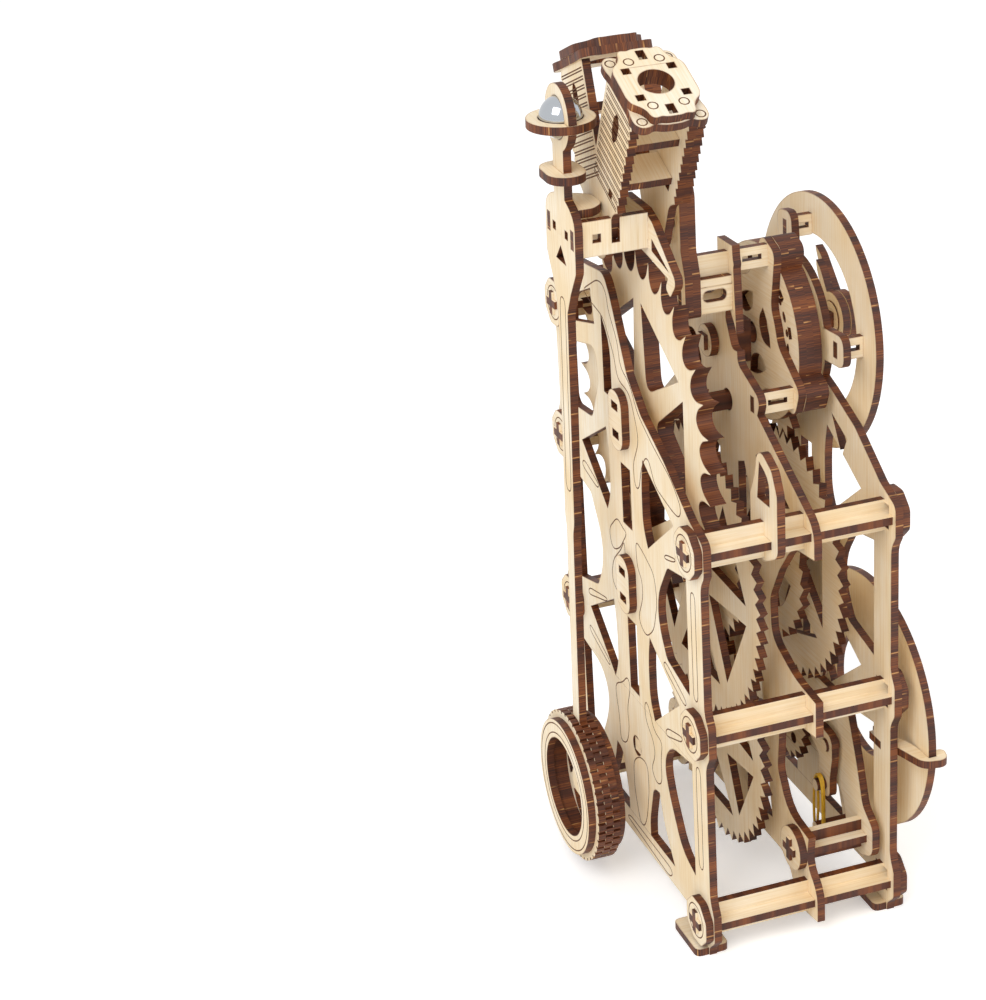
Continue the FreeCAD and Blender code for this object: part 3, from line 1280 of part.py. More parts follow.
NODES = {
    "rear_plate": rear_plate,
    "middle_plate": middle_plate,
    "front_plate": front_plate,
    "winding_plate": winding_plate,
    "link_lever": link_lever,
    "beam_flats": lambda: long_strips(True),
    "beam_uprights": lambda: long_strips(False),
    "short_beams": short_strips,
    "end_caps_rear": end_caps_rear,
    "end_caps_front": end_caps_front,
    "short_beam_caps": short_beam_caps,
    "feet": feet,
    "bearing_caps": bearing_caps,
    "drum_posts": drum_posts,
    "drum_cage": drum_cage,
    "drum_face": drum_face,
    "drum_rim": drum_rim,
    "ring_posts": ring_posts,
    "dial_ring": dial_ring,
    "lower_ring": lower_ring,
    "ring_shelf": ring_shelf,
    "bridge_rails": bridge_rails,
    "pivot_brackets": pivot_brackets,
    "fixed_pins": fixed_pins,
    "rubber_bands": rubber_bands,
    "great_wheel": great_wheel,
    "great_arbor": great_arbor,
    "ratchet_wheel": ratchet_wheel,
    "click": click,
    "centre_arbor": centre_arbor,
    "centre_pinion": centre_pinion,
    "third_wheel": third_wheel,
    "brake_wheel": brake_wheel,
    "motion_wheel": motion_wheel,
    "escape_arbor": escape_arbor,
    "escape_pinion": escape_pinion,
    "escape_wheel_rear": lambda: escape_wheel(ESCAPE_WHEEL_AT),
    "escape_wheel_front": lambda: escape_wheel(ESCAPE_WHEEL_AT + PLY),
    "idler_pinion": idler_pinion,
    "dial_wheel": dial_wheel,
    "dial_arbor": dial_arbor,
    "dial_arbor_cap": dial_arbor_cap,
    "dial_sleeve": dial_sleeve,
    "hour_hand": hour_hand,
    "minute_hand": minute_hand,
}

SWINGING = {
    "pendulum_plate": pendulum_plate,
    "steel_ball": steel_ball,
    "halo_plate": halo_plate,
    "pendulum_collar": pendulum_collar,
    "box_sides": box_sides,
    "box_top": box_top,
    "vee_plates": vee_plates,
    "fin_stacks": fin_stacks,
    "cylinder_braces": cylinder_braces,
    "cylinder_heads": cylinder_heads,
    "anchor": anchor,
    "pivot_pin": pivot_pin,
    "bob_sides": bob_sides,
    "bob_tread": bob_tread,
    "bob_core": bob_core,
}


def made():
    """Every piece by name, the pendulum's swung to the angle of the photo."""
    shapes = {name: make() for name, make in NODES.items()}
    for name, make in SWINGING.items():
        shapes[name] = turned(make(), SWING_SHOWN)
    return shapes


def centred_shift(shapes):
    """The move that puts the origin under the middle of the whole clock."""
    box = Part.makeCompound(list(shapes)).BoundBox
    return Vector(-box.Center.x, -box.Center.y, 0)


def main():
    os.makedirs("parts", exist_ok=True)
    shapes = made()
    shift = centred_shift(shapes.values())
    for name, shape in shapes.items():
        shape.translate(shift)
        shape.exportStep("parts/" + name + ".step")


main()
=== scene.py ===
"""Looks of the plywood pendulum clock: finishes for its sheets and the fine pieces on them."""
import json
import math

import bpy
from bpy.props import FloatProperty, FloatVectorProperty, PointerProperty
from mathutils import Matrix, Vector


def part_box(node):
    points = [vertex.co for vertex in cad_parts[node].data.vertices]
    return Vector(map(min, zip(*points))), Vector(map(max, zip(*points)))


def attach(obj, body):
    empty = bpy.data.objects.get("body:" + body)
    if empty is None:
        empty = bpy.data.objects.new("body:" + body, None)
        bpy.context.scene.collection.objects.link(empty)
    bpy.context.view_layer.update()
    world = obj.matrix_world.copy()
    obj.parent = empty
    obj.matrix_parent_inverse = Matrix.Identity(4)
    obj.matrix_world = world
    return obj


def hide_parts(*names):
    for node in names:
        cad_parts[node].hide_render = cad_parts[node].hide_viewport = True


bl_info = {
    "name": "Plywood Pendulum Clock",
    "version": (1, 0, 0),
    "blender": (4, 5, 0),
    "location": "3D View > Sidebar > Clock",
    "description": "Dresses the plywood clock with birch faces, laser-burnt edges and engraving",
    "category": "Object",
}

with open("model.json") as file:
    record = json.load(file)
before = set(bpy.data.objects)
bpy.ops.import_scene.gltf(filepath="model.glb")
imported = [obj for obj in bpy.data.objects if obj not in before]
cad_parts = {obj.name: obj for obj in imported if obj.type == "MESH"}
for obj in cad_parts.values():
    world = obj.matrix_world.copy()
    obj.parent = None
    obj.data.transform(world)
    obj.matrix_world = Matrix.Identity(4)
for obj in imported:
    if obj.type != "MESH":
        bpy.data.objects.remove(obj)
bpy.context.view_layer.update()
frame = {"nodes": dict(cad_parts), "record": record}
NODES = frame["nodes"]
BODIES = frame["record"]["behaviour"]["bodies"]
JOINTS = frame["record"]["behaviour"]["joints"]

MM = 0.001
PLY = 3.0                   # thickness of every sheet, mm
RIM = 0.5                   # width of the browning beside a cut, mm
SMOOTH = math.radians(35)   # edges blunter than this shade smooth
STRAIGHT = math.radians(1)  # a corner flatter than this is none
SAME_PLACE = 0.001 * MM     # points closer than this are one
ON_FACE = 0.9               # share of a normal along its sheet's axis, from which it is a face
ON_CUT = 0.7                # and below which it is a cut edge
ONE_LEVEL = 0.05 * MM       # faces closer than this along the axis lie on one plane
CURVE_STEP = 7              # a turn up to this is a step of an arc that is round already, degrees

# The pendulum as the photograph shows it
SWING_SHOWN = 3.5           # degrees from where it hangs
LEAN = 23.5                 # of each cylinder from the pendulum's own line, degrees
HEAD_X = -26.62             # middle of the cylinders along the arbors, mm
PIVOT = Vector(next(j for j in JOINTS if j["name"] == "pendulum_swing")["pos_m"])
PENDULUM = (Matrix.Translation((0, PIVOT.y, PIVOT.z))
            @ Matrix.Rotation(math.radians(SWING_SHOWN), 4, "X"))


# Colour and node helpers

def from_hex(code):
    """An sRGB hex colour as the linear colour Blender's sockets take."""
    channels = [int(code[i:i + 2], 16) / 255 for i in (1, 3, 5)]
    linear = [c / 12.92 if c <= 0.04045 else ((c + 0.055) / 1.055) ** 2.4 for c in channels]
    return (*linear, 1.0)


def add_node(tree, kind, settings=None, links=None, stops=()):
    """Adds a node: settings are attributes or sockets, links feed sockets, stops are a ramp's."""
    node = tree.nodes.new(kind)
    for name, value in (settings or {}).items():
        if isinstance(name, str) and hasattr(node, name):
            setattr(node, name, value)
        else:
            node.inputs[name].default_value = value
    for name, source in (links or {}).items():
        tree.links.new(source, node.inputs[name])
    for i, (position, code) in enumerate(stops):
        elements = node.color_ramp.elements
        stop = elements[i] if i < len(elements) else elements.new(position)
        stop.position = position
        stop.color = from_hex(code)
    return node


def new_material(name):
    """A material with an empty node tree."""
    material = bpy.data.materials.new(name)
    material.use_nodes = True
    material.node_tree.nodes.clear()
    return material


# Materials

def plywood(name, sheet_axis, grain_axis):
    """Laser-cut birch plywood: pale satin faces with fine grain, and charred brown cut edges.

    The faces give the eye cream wood with soft straw streaks under a millimetre wide, browned
    beside each cut, and the edges a matt red-brown crossed by pale hairlines where the beam paused.
    """
    grain_wide, grain_long = 0.7, 30.0
    cloud_wide, smoke_wide, char_wide = 25.0, 5.0, 5.0
    stroke_gap, pause_gap, faint_wide = 0.5, 10.0, 9.0
    props = bpy.context.scene.clock_finish
    material = new_material(name)
    tree = material.node_tree
    coordinates = add_node(tree, "ShaderNodeTexCoord")
    place = coordinates.outputs["Object"]
    axis = Vector(sheet_axis).normalized()

    # How far a face turns away from its sheet: 0 on the sheet, 1 on a cut edge
    facing = add_node(tree, "ShaderNodeVectorMath", {"operation": "DOT_PRODUCT", 1: axis},
                      {0: coordinates.outputs["Normal"]})
    size = add_node(tree, "ShaderNodeMath", {"operation": "ABSOLUTE"}, {0: facing.outputs["Value"]})
    cut = add_node(tree, "ShaderNodeMath", {"operation": "LESS_THAN", 1: ON_CUT},
                   {0: size.outputs["Value"]}).outputs["Value"]

    # Birch grain is finer than this: it is drawn as coarse as it needs to show
    along = add_node(tree, "ShaderNodeVectorMath", {"operation": "DOT_PRODUCT", 1: grain_axis},
                     {0: place})
    run = add_node(tree, "ShaderNodeVectorMath", {"operation": "SCALE", 0: grain_axis},
                   {"Scale": along.outputs["Value"]}).outputs["Vector"]
    short = add_node(tree, "ShaderNodeVectorMath",
                     {"operation": "SCALE", "Scale": grain_wide / grain_long}, {0: run})
    across = add_node(tree, "ShaderNodeVectorMath", {"operation": "SUBTRACT"}, {0: place, 1: run})
    grain_place = add_node(tree, "ShaderNodeVectorMath", {"operation": "ADD"},
                           {0: across.outputs["Vector"], 1: short.outputs["Vector"]})
    grain = add_node(tree, "ShaderNodeTexNoise",
                     {"Scale": 1 / (grain_wide * MM), "Detail": 4.0, "Roughness": 0.65},
                     {"Vector": grain_place.outputs["Vector"]}).outputs["Fac"]
    clouds = add_node(tree, "ShaderNodeTexNoise", {"Scale": 1 / (cloud_wide * MM), "Detail": 2.0},
                      {"Vector": place}).outputs["Fac"]
    streaks = add_node(tree, "ShaderNodeValToRGB", links={"Fac": grain},
                       stops=[(0.25, "#EAD3AC"), (0.45, "#F5E5C8"),
                              (0.62, "#FAEEDA"), (0.8, "#F1DDBB")]).outputs["Color"]
    wash = add_node(tree, "ShaderNodeValToRGB", links={"Fac": clouds},
                    stops=[(0.3, "#FFFFFF"), (0.7, "#F8ECD6")]).outputs["Color"]
    face = add_node(tree, "ShaderNodeMix",
                    {"data_type": "RGBA", "blend_type": "MULTIPLY", "Factor": 1.0})
    tree.links.new(streaks, face.inputs[6])
    tree.links.new(wash, face.inputs[7])

    # The browning beside a cut, which the pieces carry as an attribute that is 1 on the outline
    heat = add_node(tree, "ShaderNodeAttribute", {"attribute_name": "scorch"}).outputs["Fac"]
    smoke = add_node(tree, "ShaderNodeTexNoise", {"Scale": 1 / (smoke_wide * MM), "Detail": 2.0},
                     {"Vector": place})
    depth = add_node(tree, "ShaderNodeMath", {"operation": "MULTIPLY"},
                     {0: heat, 1: smoke.outputs["Fac"]}).outputs["Value"]
    browned = add_node(tree, "ShaderNodeMix", {"data_type": "RGBA"})
    tree.links.new(depth, browned.inputs[0])
    tree.links.new(face.outputs[2], browned.inputs[6])
    browned.inputs[7].default_value = from_hex("#8A5528")

    # The cut: the pattern doesn't change through the sheet's thickness. Pieces carry their way
    # along the outline, for its fine striations and for a pale tick at some of the beam's pauses.
    through = add_node(tree, "ShaderNodeVectorMath", {"operation": "DOT_PRODUCT", 1: axis},
                       {0: place})
    rise = add_node(tree, "ShaderNodeVectorMath", {"operation": "SCALE", 0: axis},
                    {"Scale": through.outputs["Value"]})
    in_plane = add_node(tree, "ShaderNodeVectorMath", {"operation": "SUBTRACT"},
                        {0: place, 1: rise.outputs["Vector"]}).outputs["Vector"]
    char = add_node(tree, "ShaderNodeTexNoise",
                    {"Scale": 1 / (char_wide * MM), "Detail": 3.0, "Roughness": 0.6},
                    {"Vector": in_plane}).outputs["Fac"]
    way = add_node(tree, "ShaderNodeAttribute", {"attribute_name": "outline_way"}).outputs["Fac"]
    strokes = add_node(tree, "ShaderNodeTexNoise",
                       {"noise_dimensions": "1D", "Scale": 1 / (stroke_gap * MM), "Detail": 1.0},
                       {"W": way}).outputs["Fac"]
    soot = add_node(tree, "ShaderNodeMix", {"data_type": "FLOAT", "Factor": 0.35},
                    {2: char, 3: strokes})
    burnt = add_node(tree, "ShaderNodeValToRGB", links={"Fac": soot.outputs[0]},
                     stops=[(0.34, "#2A0E04"), (0.48, "#4E220B"), (0.64, "#84471B")]).outputs["Color"]
    pauses = add_node(tree, "ShaderNodeTexVoronoi",
                      {"voronoi_dimensions": "1D", "feature": "DISTANCE_TO_EDGE",
                       "Scale": 1 / (pause_gap * MM)},
                      {"W": way}).outputs["Distance"]
    tick = add_node(tree, "ShaderNodeValToRGB", links={"Fac": pauses},
                    stops=[(0.012, "#FFFFFF"), (0.03, "#000000")]).outputs["Color"]
    faint = add_node(tree, "ShaderNodeTexNoise", {"Scale": 1 / (faint_wide * MM), "Detail": 1.0},
                     {"Vector": place})
    shown = add_node(tree, "ShaderNodeValToRGB", links={"Fac": faint.outputs["Fac"]},
                     stops=[(0.46, "#000000"), (0.6, "#FFFFFF")]).outputs["Color"]
    seen = add_node(tree, "ShaderNodeMath", {"operation": "MULTIPLY"}, {0: tick, 1: shown})
    edge = add_node(tree, "ShaderNodeMix", {"data_type": "RGBA"})
    tree.links.new(seen.outputs["Value"], edge.inputs[0])
    tree.links.new(burnt, edge.inputs[6])
    edge.inputs[7].default_value = from_hex("#C08B52")

    colour = add_node(tree, "ShaderNodeMix", {"data_type": "RGBA"})
    tree.links.new(cut, colour.inputs[0])
    tree.links.new(browned.outputs[2], colour.inputs[6])
    tree.links.new(edge.outputs[2], colour.inputs[7])

    bump = add_node(tree, "ShaderNodeBump", {"Strength": 0.15, "Distance": 0.1 * MM},
                    {"Height": grain})
    shader = add_node(tree, "ShaderNodeBsdfPrincipled",
                      {"Roughness": props.wood_roughness, "IOR": 1.5},
                      {"Base Color": colour.outputs[2], "Normal": bump.outputs["Normal"]})
    add_node(tree, "ShaderNodeOutputMaterial", links={"Surface": shader.outputs["BSDF"]})
    return material


def engraving_burn():
    """Laser engraving: a hairline of soot-brown burnt wood, a little paler than the cut edges."""
    material = new_material("burnt_engraving")
    tree = material.node_tree
    place = add_node(tree, "ShaderNodeTexCoord").outputs["Object"]
    soot = add_node(tree, "ShaderNodeTexNoise", {"Scale": 1 / (4 * MM), "Detail": 2.0},
                    {"Vector": place}).outputs["Fac"]
    colour = add_node(tree, "ShaderNodeValToRGB", links={"Fac": soot},
                      stops=[(0.3, "#553014"), (0.7, "#7A4E26")]).outputs["Color"]
    shader = add_node(tree, "ShaderNodeBsdfPrincipled", {"Roughness": 0.8}, {"Base Color": colour})
    add_node(tree, "ShaderNodeOutputMaterial", links={"Surface": shader.outputs["BSDF"]})
    return material


def polished_steel():
    """Polished bearing steel: a near mirror with very faint scuffs."""
    material = new_material("polished_steel")
    tree = material.node_tree
    place = add_node(tree, "ShaderNodeTexCoord").outputs["Object"]
    scuffs = add_node(tree, "ShaderNodeTexNoise", {"Scale": 1 / (0.8 * MM), "Detail": 3.0},
                      {"Vector": place}).outputs["Fac"]
    roughness = add_node(tree, "ShaderNodeMapRange", {"To Min": 0.05, "To Max": 0.14},
                         {"Value": scuffs}).outputs["Result"]
    shader = add_node(tree, "ShaderNodeBsdfPrincipled",
                      {"Base Color": from_hex("#B9BDC2"), "Metallic": 1.0},
                      {"Roughness": roughness})
    add_node(tree, "ShaderNodeOutputMaterial", links={"Surface": shader.outputs["BSDF"]})
    return material


def band_rubber():
    """Yellow natural rubber: slightly glossy and a little cloudy."""
    material = new_material("yellow_rubber")
    tree = material.node_tree
    place = add_node(tree, "ShaderNodeTexCoord").outputs["Object"]
    cloud = add_node(tree, "ShaderNodeTexNoise", {"Scale": 1 / (2 * MM), "Detail": 2.0},
                     {"Vector": place}).outputs["Fac"]
    colour = add_node(tree, "ShaderNodeValToRGB", links={"Fac": cloud},
                      stops=[(0.3, "#D9A61E"), (0.7, "#EFC23A")]).outputs["Color"]
    shader = add_node(tree, "ShaderNodeBsdfPrincipled", {"Roughness": 0.42, "IOR": 1.52},
                      {"Base Color": colour})
    add_node(tree, "ShaderNodeOutputMaterial", links={"Surface": shader.outputs["BSDF"]})
    return material


def studio_floor():
    """Seamless white studio paper, which keeps a faint shadow under the feet."""
    material = new_material("white_studio_paper")
    tree = material.node_tree
    light = add_node(tree, "ShaderNodeLightPath")
    place = add_node(tree, "ShaderNodeTexCoord").outputs["Object"]
    fibre = add_node(tree, "ShaderNodeTexNoise", {"Scale": 1 / (6 * MM)},
                     {"Vector": place}).outputs["Fac"]
    colour = add_node(tree, "ShaderNodeValToRGB", links={"Fac": fibre},
                      stops=[(0.3, "#FAFAF9"), (0.7, "#FCFCFC")]).outputs["Color"]
    seen = add_node(tree, "ShaderNodeMath", {"operation": "MAXIMUM"},
                    {0: light.outputs["Is Camera Ray"], 1: light.outputs["Is Glossy Ray"]})
    glow = add_node(tree, "ShaderNodeMath", {"operation": "MULTIPLY", 1: 0.35},
                    {0: seen.outputs["Value"]})
    shader = add_node(tree, "ShaderNodeBsdfPrincipled",
                      {"Roughness": 0.9, "Emission Color": (1, 1, 1, 1)},
                      {"Base Color": colour, "Emission Strength": glow.outputs["Value"]})
    add_node(tree, "ShaderNodeOutputMaterial", links={"Surface": shader.outputs["BSDF"]})
    return material


# Making pieces

def deselect():
    bpy.ops.object.select_all(action="DESELECT")


def only(obj):
    """Selects one object and makes it active."""
    deselect()
    obj.select_set(True)
    bpy.context.view_layer.objects.active = obj
    return obj


def joined(pieces):
    """Joins pieces into the first of them."""
    deselect()
    for piece in pieces:
        piece.select_set(True)
    bpy.context.view_layer.objects.active = pieces[0]
    if len(pieces) > 1:
        bpy.ops.object.join()
    return bpy.context.view_layer.objects.active


def eased(points, reach):
    """An outline with each corner rounded from reach before it to reach after it."""
    smooth = []
    for i, point in enumerate(points):
        here = Vector(point)
        ends = []
        for other in (Vector(points[i - 1]), Vector(points[(i + 1) % len(points)])):
            gap = (other - here).length
            ends.append(here + (other - here) * min(reach, 0.48 * gap) / gap)
        for t in (0.0, 0.25, 0.5, 0.75, 1.0):
            spot = ends[0] * (1 - t) ** 2 + here * 2 * t * (1 - t) + ends[1] * t ** 2
            smooth.append((spot.x, spot.y))
    return smooth


def oblong(middle, wide, high):
    """The corners of an upright rectangle."""
    a, b = middle
    return [(a - wide / 2, b - high / 2), (a + wide / 2, b - high / 2),
            (a + wide / 2, b + high / 2), (a - wide / 2, b + high / 2)]


def ring(middle, radius, count=24):
    """The points of a circle."""
    turn = 2 * math.pi / count
    return [(middle[0] + radius * math.cos(i * turn), middle[1] + radius * math.sin(i * turn))
            for i in range(count)]


def flat_curve(name, loops, closed=True):
    """Outlines in millimetres as one curve."""
    curve = bpy.data.curves.new(name, "CURVE")
    for loop in loops:
        spline = curve.splines.new("POLY")
        spline.points.add(len(loop) - 1)
        for point, (a, b) in zip(spline.points, loop):
            point.co = (a * MM, b * MM, 0, 1)
        spline.use_cyclic_u = closed
    obj = bpy.data.objects.new(name, curve)
    bpy.context.collection.objects.link(obj)
    return obj


def to_place(obj, place, material):
    """Makes a curve a mesh, then applies its place, so that the object stays at the origin."""
    only(obj)
    bpy.ops.object.convert(target="MESH")
    obj = bpy.context.object
    obj.matrix_world = place
    bpy.ops.object.transform_apply(location=True, rotation=True, scale=True)
    obj.data.materials.clear()
    obj.data.materials.append(material)
    return obj


def new_sheet(name, loops, place, material, rim=RIM):
    """A sheet from its outline and its holes, its lower face on its own plane."""
    obj = flat_curve(name, loops)
    obj.data.dimensions = "2D"
    obj.data.fill_mode = "BOTH"
    obj.data.extrude = PLY / 2 * MM
    obj = to_place(obj, place @ Matrix.Translation((0, 0, PLY / 2 * MM)), material)
    axis = (place.to_3x3() @ Vector((0, 0, 1))).normalized()
    everything(obj)
    bpy.ops.mesh.remove_doubles(threshold=SAME_PLACE)
    bpy.ops.mesh.normals_make_consistent(inside=False)
    done()
    if rim:
        brown_rims(obj, axis, rim * MM)
    mark_way(obj, axis)
    only(obj)
    bpy.ops.object.shade_smooth_by_angle(angle=SMOOTH)
    return obj


def engraving(name, paths, place, node, closed=True, soft=True):
    """Engraved hairlines on the plane of a place, as flat burnt strips a hair proud of the wood."""
    if soft:
        paths = [eased(path, 4.0) for path in paths] if closed else paths
    obj = flat_curve(name, paths, closed)
    obj.data.dimensions = "3D"
    obj.data.bevel_depth = bpy.context.scene.clock_finish.engraving_width / 2
    obj.data.bevel_resolution = 0
    obj = to_place(obj, place @ Matrix.Diagonal((1, 1, 0.25, 1)),
                   bpy.data.materials["burnt_engraving"])
    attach(obj, body_of(node))
    return obj


def body_of(node):
    """The body that a CAD node belongs to."""
    return next(body for body, names in BODIES.items() if node in names)


def on_x(x):
    """The plane across the arbors at x, its first axis Y and its second Z, facing the pendulum."""
    return Matrix(((0, 0, -1, x), (1, 0, 0, 0), (0, 1, 0, 0), (0, 0, 0, 1)))


def dress(material, *names):
    """Gives carried-over CAD nodes a material."""
    for name in names:
        mesh = NODES[name].data
        mesh.materials.clear()
        mesh.materials.append(material)


def pick(obj, domain, flags):
    """Opens a piece in edit mode with only its flagged faces or edges selected."""
    only(obj)
    mesh = obj.data
    bpy.context.tool_settings.mesh_select_mode = (False, domain == "edges", domain == "polygons")
    for kind in ("vertices", "edges", "polygons"):
        items = getattr(mesh, kind)
        items.foreach_set("select", [False] * len(items))
    getattr(mesh, domain).foreach_set("select", flags)
    bpy.ops.object.mode_set(mode="EDIT")


def done():
    bpy.ops.object.mode_set(mode="OBJECT")


def everything(obj):
    """Opens a piece in edit mode with all of it selected."""
    pick(obj, "polygons", [True] * len(obj.data.polygons))


def levels_of(mesh, axis):
    """Where the sheet's faces lie along its axis, one value for those on one plane."""
    levels = []
    for height in sorted(v.co.dot(axis) for v in mesh.vertices):
        if not levels or height - levels[-1] > ONE_LEVEL:
            levels.append(height)
    return levels


def level_of(levels, height):
    """Which level a height belongs to."""
    return min(range(len(levels)), key=lambda i: abs(levels[i] - height))


def spans_of(mesh, axis, levels):
    """The lowest and highest level that each face touches."""
    spans = []
    for face in mesh.polygons:
        touched = [level_of(levels, mesh.vertices[v].co.dot(axis)) for v in face.vertices]
        spans.append((min(touched), max(touched)))
    return spans


def open_walls(name, axis, keep):
    """A copy of a node's cut walls, without the sheet's two faces, as one object for each ply."""
    walls = bpy.data.objects.new(name + "_cut", NODES[name].data.copy())
    bpy.context.collection.objects.link(walls)
    flags = [abs(f.normal.dot(axis)) > ON_FACE or not keep(f.center) for f in walls.data.polygons]
    pick(walls, "polygons", flags)
    bpy.ops.mesh.delete(type="FACE")
    done()
    levels = levels_of(walls.data, axis)
    plies = []
    for span in sorted(set(spans_of(walls.data, axis, levels)))[1:]:
        pick(walls, "polygons", [own == span for own in spans_of(walls.data, axis, levels)])
        bpy.ops.mesh.separate(type="SELECTED")
        done()
        plies.append([o for o in bpy.context.selected_objects if o != walls][0])
    return [walls] + plies


def round_corners(ply, axis, most, blunt):
    """Rounds the blunt corners of an outline, as far as the shorter of its two sides allows."""
    everything(ply)
    bpy.ops.mesh.remove_doubles(threshold=SAME_PLACE)
    bpy.ops.mesh.dissolve_limited(angle_limit=STRAIGHT)
    done()
    mesh = ply.data
    sides = {}
    for face in mesh.polygons:
        for key in face.edge_keys:
            sides.setdefault(key, []).append(face)
    weights = []
    for edge in mesh.edges:
        ends = [mesh.vertices[v].co for v in edge.vertices]
        rung = ends[1] - ends[0]
        faces = sides.get(edge.key, [])
        cut = 0.0
        if len(faces) == 2 and abs(rung.normalized().dot(axis)) > 0.99:
            turn = faces[0].normal.angle(faces[1].normal, 0.0)
            if math.radians(CURVE_STEP) < turn < math.radians(blunt):
                cut = min(0.45 * min(f.area for f in faces) / rung.length, most)
        weights.append(cut / most)
    layer = mesh.attributes.new("bevel_weight_edge", "FLOAT", "EDGE")
    layer.data.foreach_set("value", weights)
    only(ply)
    bevel = ply.modifiers.new("laser_corners", "BEVEL")
    bevel.limit_method = "WEIGHT"
    bevel.width = most
    bevel.segments = 3 if blunt < 90 else 5
    bevel.use_clamp_overlap = False
    bpy.ops.object.modifier_apply(modifier=bevel.name)


def close_faces(ply, axis):
    """Fills the two faces of a sheet between its outlines, and turns all of it outwards."""
    for level in levels_of(ply.data, axis):
        mesh = ply.data
        uses = {}
        for face in mesh.polygons:
            for key in face.edge_keys:
                uses[key] = uses.get(key, 0) + 1
        flags = [uses.get(edge.key, 0) == 1
                 and all(abs(mesh.vertices[v].co.dot(axis) - level) < 0.6 * ONE_LEVEL
                         for v in edge.vertices)
                 for edge in mesh.edges]
        if any(flags):
            pick(ply, "edges", flags)
            bpy.ops.mesh.fill(use_beauty=False)
            done()
    everything(ply)
    bpy.ops.mesh.normals_make_consistent(inside=False)
    done()


def brown_rims(ply, axis, width):
    """Insets the sheet's faces by the width of the browning and marks the outline itself."""
    for side in (-1, 1):
        flags = [face.normal.dot(axis) * side > ON_FACE for face in ply.data.polygons]
        pick(ply, "polygons", flags)
        bpy.ops.mesh.dissolve_limited(angle_limit=STRAIGHT)
        bpy.ops.mesh.inset(thickness=width, use_even_offset=False)
        bpy.ops.mesh.delete(type="FACE")
        done()
    close_faces(ply, axis)
    mesh = ply.data
    heat = [0.0] * len(mesh.vertices)
    for face in mesh.polygons:
        if abs(face.normal.dot(axis)) < ON_CUT:
            for v in face.vertices:
                heat[v] = 1.0
    mesh.attributes.new("scorch", "FLOAT", "POINT").data.foreach_set("value", heat)


def mark_way(sheet, axis):
    """Marks how far along its outline each wall of a sheet lies, for the pattern on the cut."""
    mesh = sheet.data
    mesh.attributes.new("outline_way", "FLOAT", "CORNER")
    ways = [0.0] * len(mesh.loops)
    walls = {f.index: f for f in mesh.polygons if abs(f.normal.dot(axis)) < ON_CUT}
    at_rung = {}
    rungs_of = {}
    for index, face in walls.items():
        for key in face.edge_keys:
            run = (mesh.vertices[key[1]].co - mesh.vertices[key[0]].co)
            if abs(run.normalized().dot(axis)) > 0.9:
                at_rung.setdefault(key, []).append(index)
                rungs_of.setdefault(index, []).append(key)
    left = set(walls)
    total = 0.0
    while left:
        index = min(left)
        back = None
        while index is not None:
            left.discard(index)
            face = walls[index]
            rungs = rungs_of.get(index, [])
            ahead = [key for key in rungs if key != back]
            if back is None and rungs:
                back = rungs[0]
                ahead = rungs[1:]
            width = 0.0
            if back is not None and ahead:
                run = mesh.vertices[ahead[0][0]].co - mesh.vertices[back[0]].co
                width = (run - axis * run.dot(axis)).length
            for corner in face.loop_indices:
                beyond = not (back is not None and mesh.loops[corner].vertex_index in back)
                ways[corner] = total + (width if beyond else 0.0)
            total += width
            back = ahead[0] if ahead else None
            nexts = [i for i in at_rung.get(back, []) if i in left]
            index = nexts[0] if nexts else None
        total += 37 * MM  # so that the next outline's pattern doesn't start like this one's
    mesh.attributes["outline_way"].data.foreach_set("value", ways)


def laser_cut(name, axis, material, keep=lambda place: True, most=6 * MM, blunt=68):
    """Makes a carried-over sheet anew, with corners blunter than a limit rounded by up to most."""
    axis = Vector(axis).normalized()
    plies = open_walls(name, axis, keep)
    for ply in plies:
        round_corners(ply, axis, most, blunt)
        close_faces(ply, axis)
        brown_rims(ply, axis, RIM * MM)
    sheet = joined(plies)
    sheet.name = sheet.data.name = name + "_cut"
    sheet.data.materials.clear()
    sheet.data.materials.append(material)
    mark_way(sheet, axis)
    only(sheet)
    bpy.ops.object.shade_smooth_by_angle(angle=SMOOTH)
    return sheet


def put(piece, *nodes):
    """Rides a piece on its nodes' body and shows it in their place."""
    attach(piece, body_of(nodes[0]))
    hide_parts(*nodes)
    return piece


# Sizes and colours that a user would change

class ClockFinish(bpy.types.PropertyGroup):
    wood_roughness: FloatProperty(
        name="Wood roughness", description="How matt the plywood faces are",
        default=0.58, min=0.0, max=1.0, subtype="FACTOR")
    engraving_width: FloatProperty(
        name="Engraving width", description="Width of an engraved line",
        default=0.5 * MM, unit="LENGTH", subtype="DISTANCE")


class ClockStudio(bpy.types.PropertyGroup):
    focal_length: FloatProperty(
        name="Focal length", description="Focal length in millimetres on a 36 mm sensor",
        default=81.9)
    camera_place: FloatVectorProperty(
        name="Camera place", description="Where the camera stands",
        default=(-0.302425, -0.711767, 0.4929), subtype="TRANSLATION", unit="LENGTH")
    camera_turn: FloatVectorProperty(
        name="Camera turn", description="Yaw from +Y towards +X, pitch down and roll, in degrees",
        default=(17.14, 23.02, -3.92))
    key_power: FloatProperty(
        name="Key lamp", description="Power of the key lamp", default=18.0, unit="POWER")
    fill_power: FloatProperty(
        name="Fill lamp", description="Power of the fill lamp", default=7.5, unit="POWER")


# Operators

